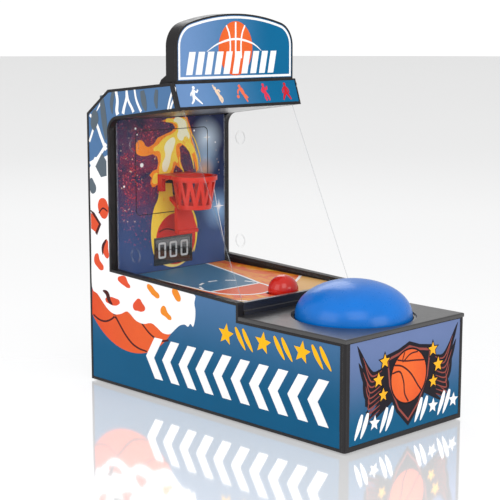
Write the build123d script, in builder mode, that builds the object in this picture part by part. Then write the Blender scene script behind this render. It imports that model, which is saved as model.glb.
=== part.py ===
"""Desk-top basketball machine: cabinet, court, hoop, kicking lever and score display.

Frame: +Z up, +Y towards the backboard, -Y towards the player, +X to the player's right.
The origin is the centre of the rectangle that the feet stand on. Lengths are millimetres.
"""
import os
from math import cos, radians, sin

from build123d import *

os.makedirs("parts", exist_ok=True)

# ---------------------------------------------------------------- driving sizes
width = 110.0              # over the side walls
depth = 240.0              # front panel's face to the rear edge of the side walls
foot_height = 1.2
side_wall = 5.0            # side wall thickness
panel = 2.5                # every flat panel between the side walls
sheet = 0.2                # printed sheet
sheet_recess = 0.4         # how deep a printed sheet is sunk
sheet_margin = 0.15        # air round a sheet in its recess
gap = 0.3                  # air between pieces that only pass each other
pin_gap = 0.05             # radial running clearance

deck_z = 68.7              # top of the deck round the button
deck_front = 4.4           # deck between the front face and the button's bezel
deck_rear = 7.4            # deck between the bezel and the court's riser
riser_rise = 8.0           # riser's top above the deck
sill_rise = 8.3            # side wall's sill above the deck, beside the riser
sill_climb = 5.0           # the sill climbs this much to the rear column
bay_depth = 24.0           # electronics bay behind the backboard
soffit_front_z = 193.2     # underside of the top arm at the visor
soffit_drop = 9.5          # it drops this much to the rear column
arm_length = 97.0          # visor's lower edge to the rear edge
visor_lean = 5.7           # how far the visor's top leans back
visor_rise = 17.4
roof_drop = 6.6            # the roof drops this much to the rear slope
slope_length = 23.4        # the rear slope's length from front to rear
slope_drop = 16.5
window_corner_r = 9.0
window_sheet = 1.0
window_lap = 2.0           # how far a clear window laps over the side wall's inner face
window_start = 2.0         # riser's face to the window's lower front corner
boss_r = 5.0               # round bosses on the clear windows
boss_wall = 0.8
boss_height = 0.5
boss_inset = 19.0          # bosses in front of the rear column
boss_low_rise = 17.2       # lower boss above the court's rear end
boss_high_drop = 16.2      # upper boss below the top arm

court_sink = 2.7           # court's front end below the riser's top
court_climb = 1.8          # the court climbs to the rear, so a ball rolls back
court_thick = 2.0
court_rib_x = 32.0         # ribs under the court
court_rib = 2.0
court_rib_height = 4.0
ball_r = 10.0
ball_show = 2.0            # the resting ball's centre above the court
launch_gap = 1.5           # air round the resting ball in its hole
launch_set = 15.0          # riser's face to the launch hole's centre

button_r = 36.6            # dome at deck level
button_rise = 22.3         # dome top above the deck
button_travel = 8.0
button_shell = 2.6
dome_fullness = 0.57       # 0.55 is an ellipse, more is squarer
button_gap = 0.6           # between the dome and its bezel
button_lip = 2.2           # retaining lip under the bezel
lip_thick = 2.0
bezel_width = 1.9
bezel_drop = 0.8           # bezel ring sits this far below the deck's surface
bezel_flange = 1.6
stem_rise = 9.3            # underside of the stem's plate above the deck
stem_plate = 2.0
stem_r = 5.0
guide_drop = 30.2          # underside of the guide's spider below the deck's underside
guide_thick = 2.4
spring_wire_r = 0.6
spring_turns = 8

pivot_drop = 6.2           # launch lever's pin below the deck's underside
pivot_set = 2.5            # the pin in front of the riser's face
pivot_pin_r = 1.5
push_set = 18.5            # button's centre to its foot on the lever
push_drop = 10.0           # where the foot meets the lever, below the pin
lever_half_width = 4.0
lever_thick = 3.0
lever_boss_r = 3.2

rim_rise = 65.8            # underside of the rim above the court's rear end
rim_r = 16.0
rim_thick = 2.8
rim_set = 7.0              # air between the rim's circle and the backboard
basket_inset = 1.0         # basket's top inside the rim
basket_taper = 3.2         # how much narrower the basket's lower end is
basket_height = 20.1
basket_wall = 1.6
basket_ribs = 12
net_opening = 4.4          # widest end of a net opening
bracket_inset = 2.1        # bracket's half width inside the rim's radius
bracket_drop = 9.0
bracket_cheek = 3.2

flap_pivot_set = 2.5       # flap's pin behind the backboard
flap_pivot_rise = 5.5      # flap's pin above the basket's lower end
flap_pin_r = 0.8
flap_height = 15.1
flap_lip = 2.6
flap_thick = 2.2
slot_half_width = 4.3
slot_above = 3.4           # slot's edges above and below the flap's pin
slot_below = 4.4

display_half_width = 17.7
display_lift = 4.2         # display's lower edge above the court's rear end
display_height = 19.5
display_rim = 1.5
display_proud = 0.6        # display frame stands this far out of the backboard
glass_thick = 1.6
digit_height = 11.5
digit_width = 7.0
digit_pitch = 10.3
digit_stroke = 1.5

header_inset = 2.6         # header's side inside the side wall's face
header_depth = 10.5
header_sign_thick = 1.8
header_rise = 43.4         # arch top above the visor
header_crown = 9.5         # how much the arch rises over its straight sides
header_corner_r = 16.0
header_wall = 2.0
header_foot = 9.8          # the flared foot's reach behind the header

battery_r = 7.25
battery_length = 50.5
battery_pitch = 16.0
battery_set = 10.0         # cells in front of the rear cover's inner face
battery_lift = 9.5         # lower cell above the door's hinge
door_half_width = 30.0
door_low_z = 19.0          # hinge axis
door_high_z = 54.0
door_thick = 2.0

screw_r = 1.3
screw_head_r = 2.6
post = 8.0                 # square posts that take the case screws
rear_post_length = 18.0
base_post_height = 14.0

# ---------------------------------------------------------------- worked-out places
half_width = width / 2
inner = half_width - side_wall              # half the width between the side walls
front_y = -depth / 2
rear_y = depth / 2
inner_front_y = front_y + panel
inner_rear_y = rear_y - panel
column_y = rear_y - bay_depth               # front edge of the side wall's rear column
board_y = column_y - 1.0                    # front face of the backboard

bezel_inner_r = button_r + button_gap
bezel_outer_r = bezel_inner_r + bezel_width
deck_length = deck_front + 2 * bezel_outer_r + deck_rear
step_y = front_y + deck_length              # front face of the court's riser
court_start_y = step_y + panel
button_y = step_y - deck_rear - bezel_outer_r
launch_y = step_y + launch_set
launch_hole_r = ball_r + launch_gap
window_front_bottom_y = step_y + window_start

deck_under_z = deck_z - panel
base_top_z = foot_height + panel
riser_top_z = deck_z + riser_rise
court_front_z = riser_top_z - court_sink
court_rear_z = court_front_z + court_climb
sill_front_z = deck_z + sill_rise
sill_rear_z = sill_front_z + sill_climb
soffit_rear_z = soffit_front_z - soffit_drop
ball_rest_z = court_front_z + ball_show
boss_y = column_y - boss_inset
boss_low_z = court_rear_z + boss_low_rise
boss_high_z = soffit_rear_z - boss_high_drop

visor_bottom_y = rear_y - arm_length
visor_top_y = visor_bottom_y + visor_lean
visor_top_z = soffit_front_z + visor_rise
slope_top_y = rear_y - slope_length         # where the roof meets the rear slope
slope_top_z = visor_top_z - roof_drop
slope_bottom_z = slope_top_z - slope_drop
roof_slope = roof_drop / (slope_top_y - visor_top_y)
court_slope = court_climb / (board_y - step_y)
header_half_width = half_width - header_inset
header_top_z = visor_top_z + header_rise
header_corner_z = header_top_z - header_crown

bezel_top_z = deck_z - bezel_drop
bezel_low_z = deck_under_z - panel
lip_top_z = bezel_low_z - gap
lip_low_z = lip_top_z - lip_thick
stem_z = deck_z + stem_rise
guide_z = deck_under_z - guide_drop
pivot_y = step_y - pivot_set
pivot_z = deck_under_z - pivot_drop
push_y = button_y + push_set
push_z = pivot_z - push_drop

hoop_y = board_y - rim_r - rim_set
rim_low_z = court_rear_z + rim_rise
rim_high_z = rim_low_z + rim_thick
basket_top_r = rim_r - basket_inset
basket_low_r = basket_top_r - basket_taper
basket_low_z = rim_low_z - basket_height
bracket_half_width = rim_r - bracket_inset
bracket_low_z = rim_low_z - bracket_drop
hoop_screw_x = bracket_half_width - bracket_cheek / 2
hoop_screw_z = rim_low_z - 0.4 * bracket_drop

flap_pivot_y = board_y + panel + flap_pivot_set
flap_pivot_z = basket_low_z + flap_pivot_rise
slot_low_z = flap_pivot_z - slot_below
slot_high_z = flap_pivot_z + slot_above
slot_mid_z = (slot_low_z + slot_high_z) / 2
display_low_z = court_rear_z + display_lift
display_mid_z = display_low_z + display_height / 2

front_post_y = inner_front_y + 13.5
rear_post_y = inner_rear_y - 23.5
rear_screw_z = (deck_under_z - 2.2, slope_bottom_z - 15.5)
post_x = inner - post / 2
base_screw_places = [(x, y) for x in (-post_x, post_x) for y in (front_post_y, rear_post_y)]
rear_screw_places = [(x, z) for x in (-post_x, post_x) for z in rear_screw_z]


def court_z(y):
    """Height of the court's plastic surface at depth y."""
    return court_front_z + court_slope * (y - step_y)


def soffit_z(y):
    """Height of the top arm's underside at depth y."""
    share = (y - visor_bottom_y) / (column_y - visor_bottom_y)
    return soffit_front_z + share * (soffit_rear_z - soffit_front_z)


def sill_z(y):
    """Height of the side wall's sill at depth y."""
    share = (y - step_y) / (column_y - step_y)
    return sill_front_z + share * (sill_rear_z - sill_front_z)


def roof_z(y):
    """Height of the roof's outer surface at depth y, in front of the rear slope."""
    return visor_top_z - roof_slope * (y - visor_top_y)


def across(x):
    """A sketch plane across the machine at side position x; its axes are Y and Z."""
    return Plane.YZ.offset(x)


def facing(y):
    """A sketch plane that faces the player at depth y; its axes are X and Z."""
    return Plane.XZ.offset(-y)


def over_button(z):
    """A level sketch plane centred on the button at height z."""
    return Plane(origin=(0, button_y, z))


def lying(x, y, z):
    """A place whose own Z axis lies along X, for pins and cells."""
    return Location((x, y, z), (0, 90, 0))


def outline(*points):
    """A filled polygon in the current sketch, at its own coordinates."""
    return Polygon(*points, align=None)


def dome_curve(radius, rise):
    """A quarter of the dome's section, upright at its rim and level at its top."""
    return Bezier(
        (radius, 0), (radius, dome_fullness * rise), (dome_fullness * radius, rise), (0, rise)
    )


def save(piece, name):
    """Label a finished piece and write it as parts/name.step."""
    piece.label = name
    export_step(piece, f"parts/{name}.step")


# ---------------------------------------------------------------- side walls
side_rim = 1.8             # black edge left round the printed sheet
front_band = 4.5           # black band at the front corner
pocket_depth = 2.6
pocket_edge = 8.0          # wall left before and behind the pockets
pocket_count = 4
rib = 6.0
rib_pitch = (depth - 2 * pocket_edge) / pocket_count
pocket_low_z = base_top_z + 7.0
pocket_high_z = deck_under_z - 9.5
column_pocket_low_z = sill_rear_z + 3.0
column_pocket_high_z = rear_screw_z[1] - post / 2 - 5.0
column_pocket_width = bay_depth - 9.0
screw_bore = 10.0          # depth of the bores that the case screws turn into
column_pitch = (column_pocket_high_z - column_pocket_low_z + rib) / 3

with BuildSketch(across(0)) as visor_profile:
    outline(
        (visor_bottom_y, soffit_front_z),
        (visor_top_y, visor_top_z),
        (visor_top_y + panel, roof_z(visor_top_y + panel)),
        (visor_bottom_y + panel, soffit_z(visor_bottom_y + panel)),
    )

# The side wall's outline is a tall C whose mouth, towards the player, holds the clear window.
with BuildSketch(across(0)) as wall_profile:
    outline(
        (inner_front_y, foot_height),
        (inner_front_y, deck_under_z),
        (step_y, deck_under_z),
        (step_y, sill_front_z),
        (column_y, sill_rear_z),
        (column_y, soffit_rear_z),
        (visor_bottom_y, soffit_front_z),
        (visor_top_y, visor_top_z),
        (slope_top_y, slope_top_z),
        (rear_y, slope_bottom_z),
        (rear_y, foot_height),
    )
    corners = wall_profile.vertices()
    fillet(corners.sort_by_distance((column_y, soffit_rear_z))[0], window_corner_r)
    corners = wall_profile.vertices()
    fillet(corners.sort_by_distance((step_y, sill_front_z))[0], side_rim)
    add(visor_profile.sketch_local, mode=Mode.SUBTRACT)

with BuildSketch(across(0)) as side_sheet_profile:
    add(wall_profile.sketch_local)
    offset(amount=-side_rim, kind=Kind.INTERSECTION, mode=Mode.REPLACE)
    with Locations((front_y + front_band / 2, deck_z)):
        Rectangle(front_band, width, mode=Mode.SUBTRACT)

with BuildPart() as left_side_wall:
    with BuildSketch(across(-half_width)):
        add(wall_profile.sketch_local)
    extrude(amount=side_wall)
    with BuildSketch(across(-half_width)):
        add(side_sheet_profile.sketch_local)
    extrude(amount=sheet_recess, mode=Mode.SUBTRACT)
    # Lightening pockets on the hidden side, with ribs left between them.
    with BuildSketch(across(-inner)):
        with Locations((0, (pocket_low_z + pocket_high_z) / 2)):
            with GridLocations(rib_pitch, 0, pocket_count, 1):
                Rectangle(rib_pitch - rib, pocket_high_z - pocket_low_z)
        with Locations(((rear_y + column_y) / 2, (column_pocket_low_z + column_pocket_high_z) / 2)):
            with GridLocations(0, column_pitch, 1, 3):
                Rectangle(column_pocket_width, column_pitch - rib)
    extrude(amount=-pocket_depth, mode=Mode.SUBTRACT)
    # Posts that take the screws of the rear cover and the base plate.
    with Locations(*[(-post_x, inner_rear_y - rear_post_length / 2, z) for z in rear_screw_z]):
        Box(post, rear_post_length, post)
    with Locations(*[
        (-post_x, y, base_top_z + base_post_height / 2) for y in (front_post_y, rear_post_y)
    ]):
        Box(post, post, base_post_height)
    with Locations(*[Location((-post_x, inner_rear_y, z), (90, 0, 0)) for z in rear_screw_z]):
        Cylinder(screw_r, 2 * screw_bore, mode=Mode.SUBTRACT)
    with Locations(*[(-post_x, y, base_top_z) for y in (front_post_y, rear_post_y)]):
        Cylinder(screw_r, 2 * screw_bore, mode=Mode.SUBTRACT)

with BuildPart() as right_side_wall:
    mirror(left_side_wall.part, about=Plane.YZ)

with BuildPart() as left_side_sheet:
    with BuildSketch(across(-half_width + sheet_recess)):
        add(side_sheet_profile.sketch_local)
        offset(amount=-sheet_margin, kind=Kind.INTERSECTION, mode=Mode.REPLACE)
    extrude(amount=-sheet)

with BuildPart() as right_side_sheet:
    mirror(left_side_sheet.part, about=Plane.YZ)

# ---------------------------------------------------------------- front panel
front_sheet_edge = 3.6
front_sheet_half = half_width - front_sheet_edge
front_sheet_low_z = foot_height + 3.0
front_sheet_high_z = deck_under_z - 0.5
front_corner_r = 0.72 * panel
front_sheet_mid_z = (front_sheet_low_z + front_sheet_high_z) / 2
front_sheet_height = front_sheet_high_z - front_sheet_low_z

with BuildPart() as front_panel:
    with BuildSketch(facing(front_y)):
        with Locations((0, (foot_height + deck_under_z) / 2)):
            Rectangle(width, deck_under_z - foot_height)
    extrude(amount=-panel)
    corner_edges = front_panel.edges().filter_by(Axis.Z).group_by(Axis.Y)[0]
    fillet(corner_edges, front_corner_r)
    with BuildSketch(facing(front_y)):
        with Locations((0, front_sheet_mid_z)):
            Rectangle(2 * front_sheet_half, front_sheet_height)
    extrude(amount=-sheet_recess, mode=Mode.SUBTRACT)

with BuildPart() as front_sheet:
    with BuildSketch(facing(front_y + sheet_recess)):
        with Locations((0, front_sheet_mid_z)):
            Rectangle(
                2 * (front_sheet_half - sheet_margin), front_sheet_height - 2 * sheet_margin
            )
    extrude(amount=sheet)

# ---------------------------------------------------------------- deck, bezel and riser
deck_round = 0.8

with BuildPart() as deck_cover:
    with BuildSketch(Plane.XY.offset(deck_under_z)):
        with Locations((0, (front_y + step_y) / 2)):
            Rectangle(width, deck_length)
    extrude(amount=panel)
    outer_edges = deck_cover.edges().group_by(Axis.Z)[-1].sort_by(Axis.Y)[:-1]
    fillet(outer_edges, deck_round)
    with BuildSketch(over_button(deck_under_z)):
        Circle(bezel_outer_r + pin_gap)
    extrude(amount=panel, mode=Mode.SUBTRACT)

button_axis = Axis((0, button_y, 0), (0, 0, 1))

with BuildPart() as button_bezel:
    with BuildSketch(facing(button_y)):
        outline(
            (bezel_inner_r, bezel_low_z),
            (bezel_outer_r + bezel_flange, bezel_low_z),
            (bezel_outer_r + bezel_flange, deck_under_z),
            (bezel_outer_r, deck_under_z),
            (bezel_outer_r, bezel_top_z),
            (bezel_inner_r, bezel_top_z),
        )
    revolve(axis=button_axis)

ledge = 0.8                # small ledge low on the riser's face
ledge_top_z = deck_z + 2.6
cap = 0.5                  # the riser's top edge stands this far forward
cap_height = 1.2
with BuildPart() as court_riser:
    with BuildSketch(across(-inner)):
        outline(
            (step_y, deck_under_z),
            (step_y, deck_z),
            (step_y - ledge, deck_z),
            (step_y - ledge, ledge_top_z),
            (step_y, ledge_top_z + ledge / 2),
            (step_y, riser_top_z - cap_height - 0.4),
            (step_y - cap, riser_top_z - cap_height),
            (step_y - cap, riser_top_z),
            (court_start_y, riser_top_z),
            (court_start_y, deck_under_z),
        )
    extrude(amount=2 * inner)

# ---------------------------------------------------------------- court floor
with BuildPart() as court_floor:
    with BuildSketch(across(-inner)):
        outline(
            (court_start_y, court_z(court_start_y)),
            (board_y, court_z(board_y)),
            (board_y, court_z(board_y) - court_thick),
            (court_start_y, court_z(court_start_y) - court_thick),
        )
    extrude(amount=2 * inner)
    # Ribs under the floor, clear of the launch lever.
    for rib_x in (-court_rib_x, court_rib_x):
        with BuildSketch(across(rib_x - court_rib / 2)):
            outline(
                (court_start_y, court_z(court_start_y) - court_thick),
                (board_y, court_z(board_y) - court_thick),
                (board_y, court_z(board_y) - court_thick - court_rib_height),
                (court_start_y, court_z(court_start_y) - court_thick - court_rib_height),
            )
        extrude(amount=court_rib)
    with Locations((0, launch_y, court_front_z)):
        Cylinder(launch_hole_r, 5 * court_thick, mode=Mode.SUBTRACT)

with BuildPart() as court_sheet:
    with BuildSketch(across(-inner + gap)):
        outline(
            (court_start_y + gap, court_z(court_start_y + gap)),
            (board_y - gap, court_z(board_y - gap)),
            (board_y - gap, court_z(board_y - gap) + sheet),
            (court_start_y + gap, court_z(court_start_y + gap) + sheet),
        )
    extrude(amount=2 * (inner - gap))
    with Locations((0, launch_y, court_front_z)):
        Cylinder(launch_hole_r + gap, 5 * court_thick, mode=Mode.SUBTRACT)

# ---------------------------------------------------------------- backboard
on_board = (Align.CENTER, Align.MIN, Align.CENTER)       # a box that stands on the board's back
board_low_z = court_z(board_y) - court_thick
board_high_z = soffit_z(board_y) + panel
bracket_mid_z = (bracket_low_z + rim_high_z) / 2
bracket_hole_half = bracket_half_width - bracket_cheek
bracket_hole_low_z = bracket_low_z + 0.9
bracket_hole_high_z = rim_low_z - 0.9

with BuildPart() as backboard:
    with BuildSketch(facing(board_y)):
        with Locations((0, (board_low_z + board_high_z) / 2)):
            Rectangle(2 * inner, board_high_z - board_low_z)
        with Locations((0, display_mid_z)):
            Rectangle(2 * display_half_width, display_height, mode=Mode.SUBTRACT)
        with Locations((0, slot_mid_z)):
            Rectangle(2 * slot_half_width, slot_high_z - slot_low_z, mode=Mode.SUBTRACT)
        with Locations((0, (bracket_hole_low_z + bracket_hole_high_z) / 2)):
            Rectangle(
                2 * bracket_hole_half, bracket_hole_high_z - bracket_hole_low_z,
                mode=Mode.SUBTRACT,
            )
        with Locations((-hoop_screw_x, hoop_screw_z), (hoop_screw_x, hoop_screw_z)):
            Circle(screw_r, mode=Mode.SUBTRACT)
    extrude(amount=-panel)

with BuildPart() as backboard_sheet:
    with BuildSketch(facing(board_y)):
        with Locations((0, (court_rear_z + soffit_z(board_y)) / 2)):
            Rectangle(2 * (inner - gap), soffit_z(board_y) - court_rear_z - 3 * gap)
        with Locations((0, display_mid_z)):
            Rectangle(
                2 * (display_half_width + gap), display_height + 2 * gap, mode=Mode.SUBTRACT
            )
        with Locations((0, slot_mid_z)):
            Rectangle(2 * slot_half_width, slot_high_z - slot_low_z, mode=Mode.SUBTRACT)
        with Locations((0, bracket_mid_z)):
            Rectangle(
                2 * (bracket_half_width + gap), rim_high_z - bracket_low_z + 2 * gap,
                mode=Mode.SUBTRACT,
            )
    extrude(amount=sheet)

# ---------------------------------------------------------------- roof, soffit, visor
with BuildPart() as roof_panel:
    with BuildSketch(across(-inner)):
        outline(
            (visor_top_y + panel, roof_z(visor_top_y + panel)),
            (slope_top_y, slope_top_z),
            (rear_y, slope_bottom_z),
            (rear_y - panel, slope_bottom_z),
            (slope_top_y - panel / 2, slope_top_z - panel),
            (visor_top_y + panel / 2, roof_z(visor_top_y) - panel),
        )
        add(visor_profile.sketch_local, mode=Mode.SUBTRACT)
    extrude(amount=2 * inner)

with BuildPart() as soffit_panel:
    with BuildSketch(across(-inner)):
        outline(
            (visor_bottom_y + panel, soffit_z(visor_bottom_y + panel)),
            (board_y, soffit_z(board_y)),
            (board_y, soffit_z(board_y) + panel),
            (visor_bottom_y + panel, soffit_z(visor_bottom_y + panel) + panel),
        )
        add(visor_profile.sketch_local, mode=Mode.SUBTRACT)
    extrude(amount=2 * inner)

# The visor's sheet lies in a recess of its slanted face.
visor_plane = Plane(
    origin=(0, (visor_bottom_y + visor_top_y) / 2, (soffit_front_z + visor_top_z) / 2),
    x_dir=(1, 0, 0),
    z_dir=(0, -(visor_top_z - soffit_front_z), visor_top_y - visor_bottom_y),
)
visor_length = ((visor_top_z - soffit_front_z) ** 2 + (visor_top_y - visor_bottom_y) ** 2) ** 0.5
visor_lip = 2.0            # black edge below the sheet
visor_edge = 1.0           # black edge at its other sides
visor_sheet_height = visor_length - visor_lip - visor_edge
visor_sheet_shift = (visor_lip - visor_edge) / 2

with BuildPart() as visor_panel:
    with BuildSketch(across(-half_width)):
        add(visor_profile.sketch_local)
    extrude(amount=width)
    with BuildSketch(visor_plane):
        with Locations((0, visor_sheet_shift)):
            Rectangle(width - 2 * visor_edge, visor_sheet_height)
    extrude(amount=-sheet_recess, mode=Mode.SUBTRACT)

with BuildPart() as visor_sheet:
    with BuildSketch(visor_plane.offset(-sheet_recess)):
        with Locations((0, visor_sheet_shift)):
            Rectangle(
                width - 2 * (visor_edge + sheet_margin), visor_sheet_height - 2 * sheet_margin
            )
    extrude(amount=sheet)

# ---------------------------------------------------------------- header
header_front_y = visor_top_y
header_shell_y = header_front_y + header_sign_thick
header_rear_y = header_front_y + header_depth
header_foot_y = header_rear_y + header_foot
flare_high = 11.0          # the flared foot's outline above the visor
flare_mid = 4.0
flare_low = 1.2
under_cut = 9.0            # deep enough to clear what hangs below the roof

with BuildSketch(facing(0)) as arch_profile:
    with BuildLine():
        Polyline(
            (-header_half_width, header_corner_z),
            (-header_half_width, visor_top_z),
            (header_half_width, visor_top_z),
            (header_half_width, header_corner_z),
        )
        ThreePointArc(
            (header_half_width, header_corner_z),
            (0, header_top_z),
            (-header_half_width, header_corner_z),
        )
    make_face()
    fillet(arch_profile.vertices().group_by(Axis.Y)[-1], header_corner_r)

with BuildPart() as header_shell:
    with BuildSketch(facing(header_shell_y)):
        add(arch_profile.sketch_local)
    extrude(amount=-(header_rear_y - header_shell_y))
    with BuildSketch(facing(header_shell_y)):
        add(arch_profile.sketch_local)
        offset(amount=-header_wall, kind=Kind.ARC, mode=Mode.REPLACE)
    extrude(amount=-(header_rear_y - header_shell_y - header_wall), mode=Mode.SUBTRACT)
    # The shell's foot flares out at the back and sits on the roof.
    with BuildSketch(across(-inner)):
        outline(
            (header_rear_y - header_wall, visor_top_z + flare_high),
            (header_rear_y, visor_top_z + flare_high),
            (header_rear_y + 3.0, visor_top_z + flare_mid),
            (header_foot_y - 2.0, visor_top_z + flare_low),
            (header_foot_y, roof_z(header_foot_y)),
            (header_rear_y - header_wall, roof_z(header_rear_y - header_wall)),
        )
    extrude(amount=2 * inner)
    # The lower edge follows the roof.
    with BuildSketch(across(-half_width)):
        outline(
            (header_shell_y, roof_z(header_shell_y) - under_cut),
            (header_shell_y, roof_z(header_shell_y)),
            (header_foot_y + panel, roof_z(header_foot_y + panel)),
            (header_foot_y + panel, roof_z(header_foot_y + panel) - under_cut),
        )
    extrude(amount=width, mode=Mode.SUBTRACT)

header_sheet_edge = 1.0
with BuildPart() as header_sign:
    with BuildSketch(facing(header_front_y)):
        add(arch_profile.sketch_local)
    extrude(amount=-header_sign_thick)
    with BuildSketch(facing(header_front_y)):
        add(arch_profile.sketch_local)
        offset(amount=-header_sheet_edge, kind=Kind.ARC, mode=Mode.REPLACE)
    extrude(amount=-sheet_recess, mode=Mode.SUBTRACT)

with BuildPart() as header_sheet:
    with BuildSketch(facing(header_front_y + sheet_recess)):
        add(arch_profile.sketch_local)
        offset(amount=-header_sheet_edge - sheet_margin, kind=Kind.ARC, mode=Mode.REPLACE)
    extrude(amount=sheet)

# ---------------------------------------------------------------- clear windows
window_x = inner - gap / 2

with BuildPart() as left_window:
    with BuildSketch(across(-window_x)):
        outline(
            (court_start_y + gap, sill_z(court_start_y) - window_lap),
            (board_y - gap, sill_z(board_y) - window_lap),
            (board_y - gap, soffit_z(board_y) - gap),
            (visor_bottom_y + panel + gap, soffit_z(visor_bottom_y + panel) - gap),
            (window_front_bottom_y, riser_top_z + gap),
            (court_start_y + gap, riser_top_z + gap),
        )
    extrude(amount=window_sheet)
    with BuildSketch(across(-window_x + window_sheet)):
        with Locations((boss_y, boss_low_z), (boss_y, boss_high_z)):
            Circle(boss_r)
            Circle(boss_r - boss_wall, mode=Mode.SUBTRACT)
    extrude(amount=boss_height)

with BuildPart() as right_window:
    mirror(left_window.part, about=Plane.YZ)

# ---------------------------------------------------------------- base, feet, rear cover
foot_r = 5.0
foot_x = half_width - 21.0
foot_y = rear_y - 14.0

with BuildPart() as base_plate:
    with BuildSketch(Plane.XY.offset(foot_height)):
        Rectangle(2 * inner, depth - 2 * panel)
        with Locations(*base_screw_places):
            Circle(screw_r, mode=Mode.SUBTRACT)
    extrude(amount=panel)
    # Counterbores that hide the screw heads.
    with BuildSketch(Plane.XY.offset(foot_height)):
        with Locations(*base_screw_places):
            Circle(screw_head_r + gap)
    extrude(amount=panel / 2, mode=Mode.SUBTRACT)

with BuildPart() as rubber_feet:
    with BuildSketch(Plane.XY):
        with GridLocations(2 * foot_x, 2 * foot_y, 2, 2):
            Circle(foot_r)
    extrude(amount=foot_height)

grille_pitch = 3.8
grille_hole_r = 1.1
speaker_z = slope_bottom_z - 37.5
switch_z = speaker_z - 32.0
switch_slot_half = 6.0
switch_slot_height = 5.0
door_inset = 0.1           # the door's face lies this far inside the cover's
door_axis_y = rear_y - door_thick / 2 - door_inset
peg_r = 0.8                # the door's pegs
peg_length = 1.8           # how far they reach into the cover
door_opening_half = door_half_width + gap
door_opening_low_z = door_low_z - door_thick / 2 - gap
door_opening_high_z = door_high_z + gap

with BuildPart() as rear_cover:
    with BuildSketch(facing(inner_rear_y)):
        with Locations((0, (foot_height + slope_bottom_z) / 2)):
            Rectangle(2 * inner, slope_bottom_z - foot_height)
        with Locations((0, (door_opening_low_z + door_opening_high_z) / 2)):
            Rectangle(
                2 * door_opening_half, door_opening_high_z - door_opening_low_z,
                mode=Mode.SUBTRACT,
            )
        with Locations((0, speaker_z)):
            Circle(grille_hole_r, mode=Mode.SUBTRACT)
            for ring in (1, 2, 3):
                with PolarLocations(ring * grille_pitch, 6 * ring):
                    Circle(grille_hole_r, mode=Mode.SUBTRACT)
        with Locations((0, switch_z)):
            Rectangle(2 * switch_slot_half, switch_slot_height, mode=Mode.SUBTRACT)
        with Locations(*rear_screw_places):
            Circle(screw_r, mode=Mode.SUBTRACT)
    extrude(amount=-panel)
    # Sunk seats for the screw heads.
    with BuildSketch(facing(rear_y)):
        with Locations(*rear_screw_places):
            Circle(screw_head_r + gap)
    extrude(amount=panel / 2, mode=Mode.SUBTRACT)
    # Sockets in the battery opening's sides for the door's pegs.
    with Locations(lying(0, door_axis_y, door_low_z)):
        Cylinder(peg_r + pin_gap, 2 * (door_opening_half + peg_length + 0.7), mode=Mode.SUBTRACT)


screw_head = 1.0           # height of a screw's head
cross_length = 3.2         # its cross recess
cross_width = 0.7
case_screw_length = 9.0


def cross_head_screws(seats, turn, shank):
    """Add a pan-head screw at each seat, its head outwards along the turned Z axis."""
    with Locations(*[Location(seat, turn) for seat in seats]):
        Cylinder(screw_r, shank, align=(Align.CENTER, Align.CENTER, Align.MAX))
        Cylinder(screw_head_r, screw_head, align=(Align.CENTER, Align.CENTER, Align.MIN))
        with Locations((0, 0, screw_head)):
            Box(cross_length, cross_width, screw_head, mode=Mode.SUBTRACT)
            Box(cross_width, cross_length, screw_head, mode=Mode.SUBTRACT)


with BuildPart() as rear_screws:
    cross_head_screws(
        [(x, rear_y - panel / 2, z) for x, z in rear_screw_places], (-90, 0, 0), case_screw_length
    )

with BuildPart() as base_screws:
    cross_head_screws(
        [(x, y, foot_height + panel / 2) for x, y in base_screw_places],
        (180, 0, 0), case_screw_length,
    )

# ---------------------------------------------------------------- dome button and its guide
cavity_r = button_r - button_shell
cavity_rise = button_rise - button_shell
button_section = Plane(origin=(0, button_y, deck_z), x_dir=(1, 0, 0), z_dir=(0, -1, 0))

with BuildPart() as dome_button:
    with BuildSketch(button_section):
        with BuildLine():
            dome_curve(button_r, button_rise)
            Line((0, button_rise), (0, cavity_rise))
            dome_curve(cavity_r, cavity_rise)
            Polyline(
                (cavity_r, 0),
                (cavity_r, lip_low_z - deck_z),
                (button_r + button_lip, lip_low_z - deck_z),
                (button_r + button_lip, lip_top_z - deck_z),
                (button_r, lip_top_z - deck_z),
                (button_r, 0),
            )
        make_face()
    revolve(axis=button_axis)

push_foot = 3.0            # thickness of the stem's foot on the lever
push_length = stem_z - push_z - gap

with BuildPart() as button_stem:
    with BuildSketch(button_section):
        with BuildLine():
            dome_curve(cavity_r, cavity_rise)
            Polyline((0, cavity_rise), (0, 0), (cavity_r, 0))
        make_face()
    revolve(axis=button_axis)
    with Locations((0, button_y, stem_z + stem_plate / 2)):
        Box(2 * button_r, 2 * button_r, stem_plate, mode=Mode.INTERSECT)
    with Locations((0, button_y, stem_z)):
        Cylinder(
            stem_r, stem_z - guide_z - button_travel,
            align=(Align.CENTER, Align.CENTER, Align.MAX),
        )
    with Locations((0, push_y, stem_z - push_length / 2)):
        Box(2 * lever_half_width, push_foot, push_length)

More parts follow.
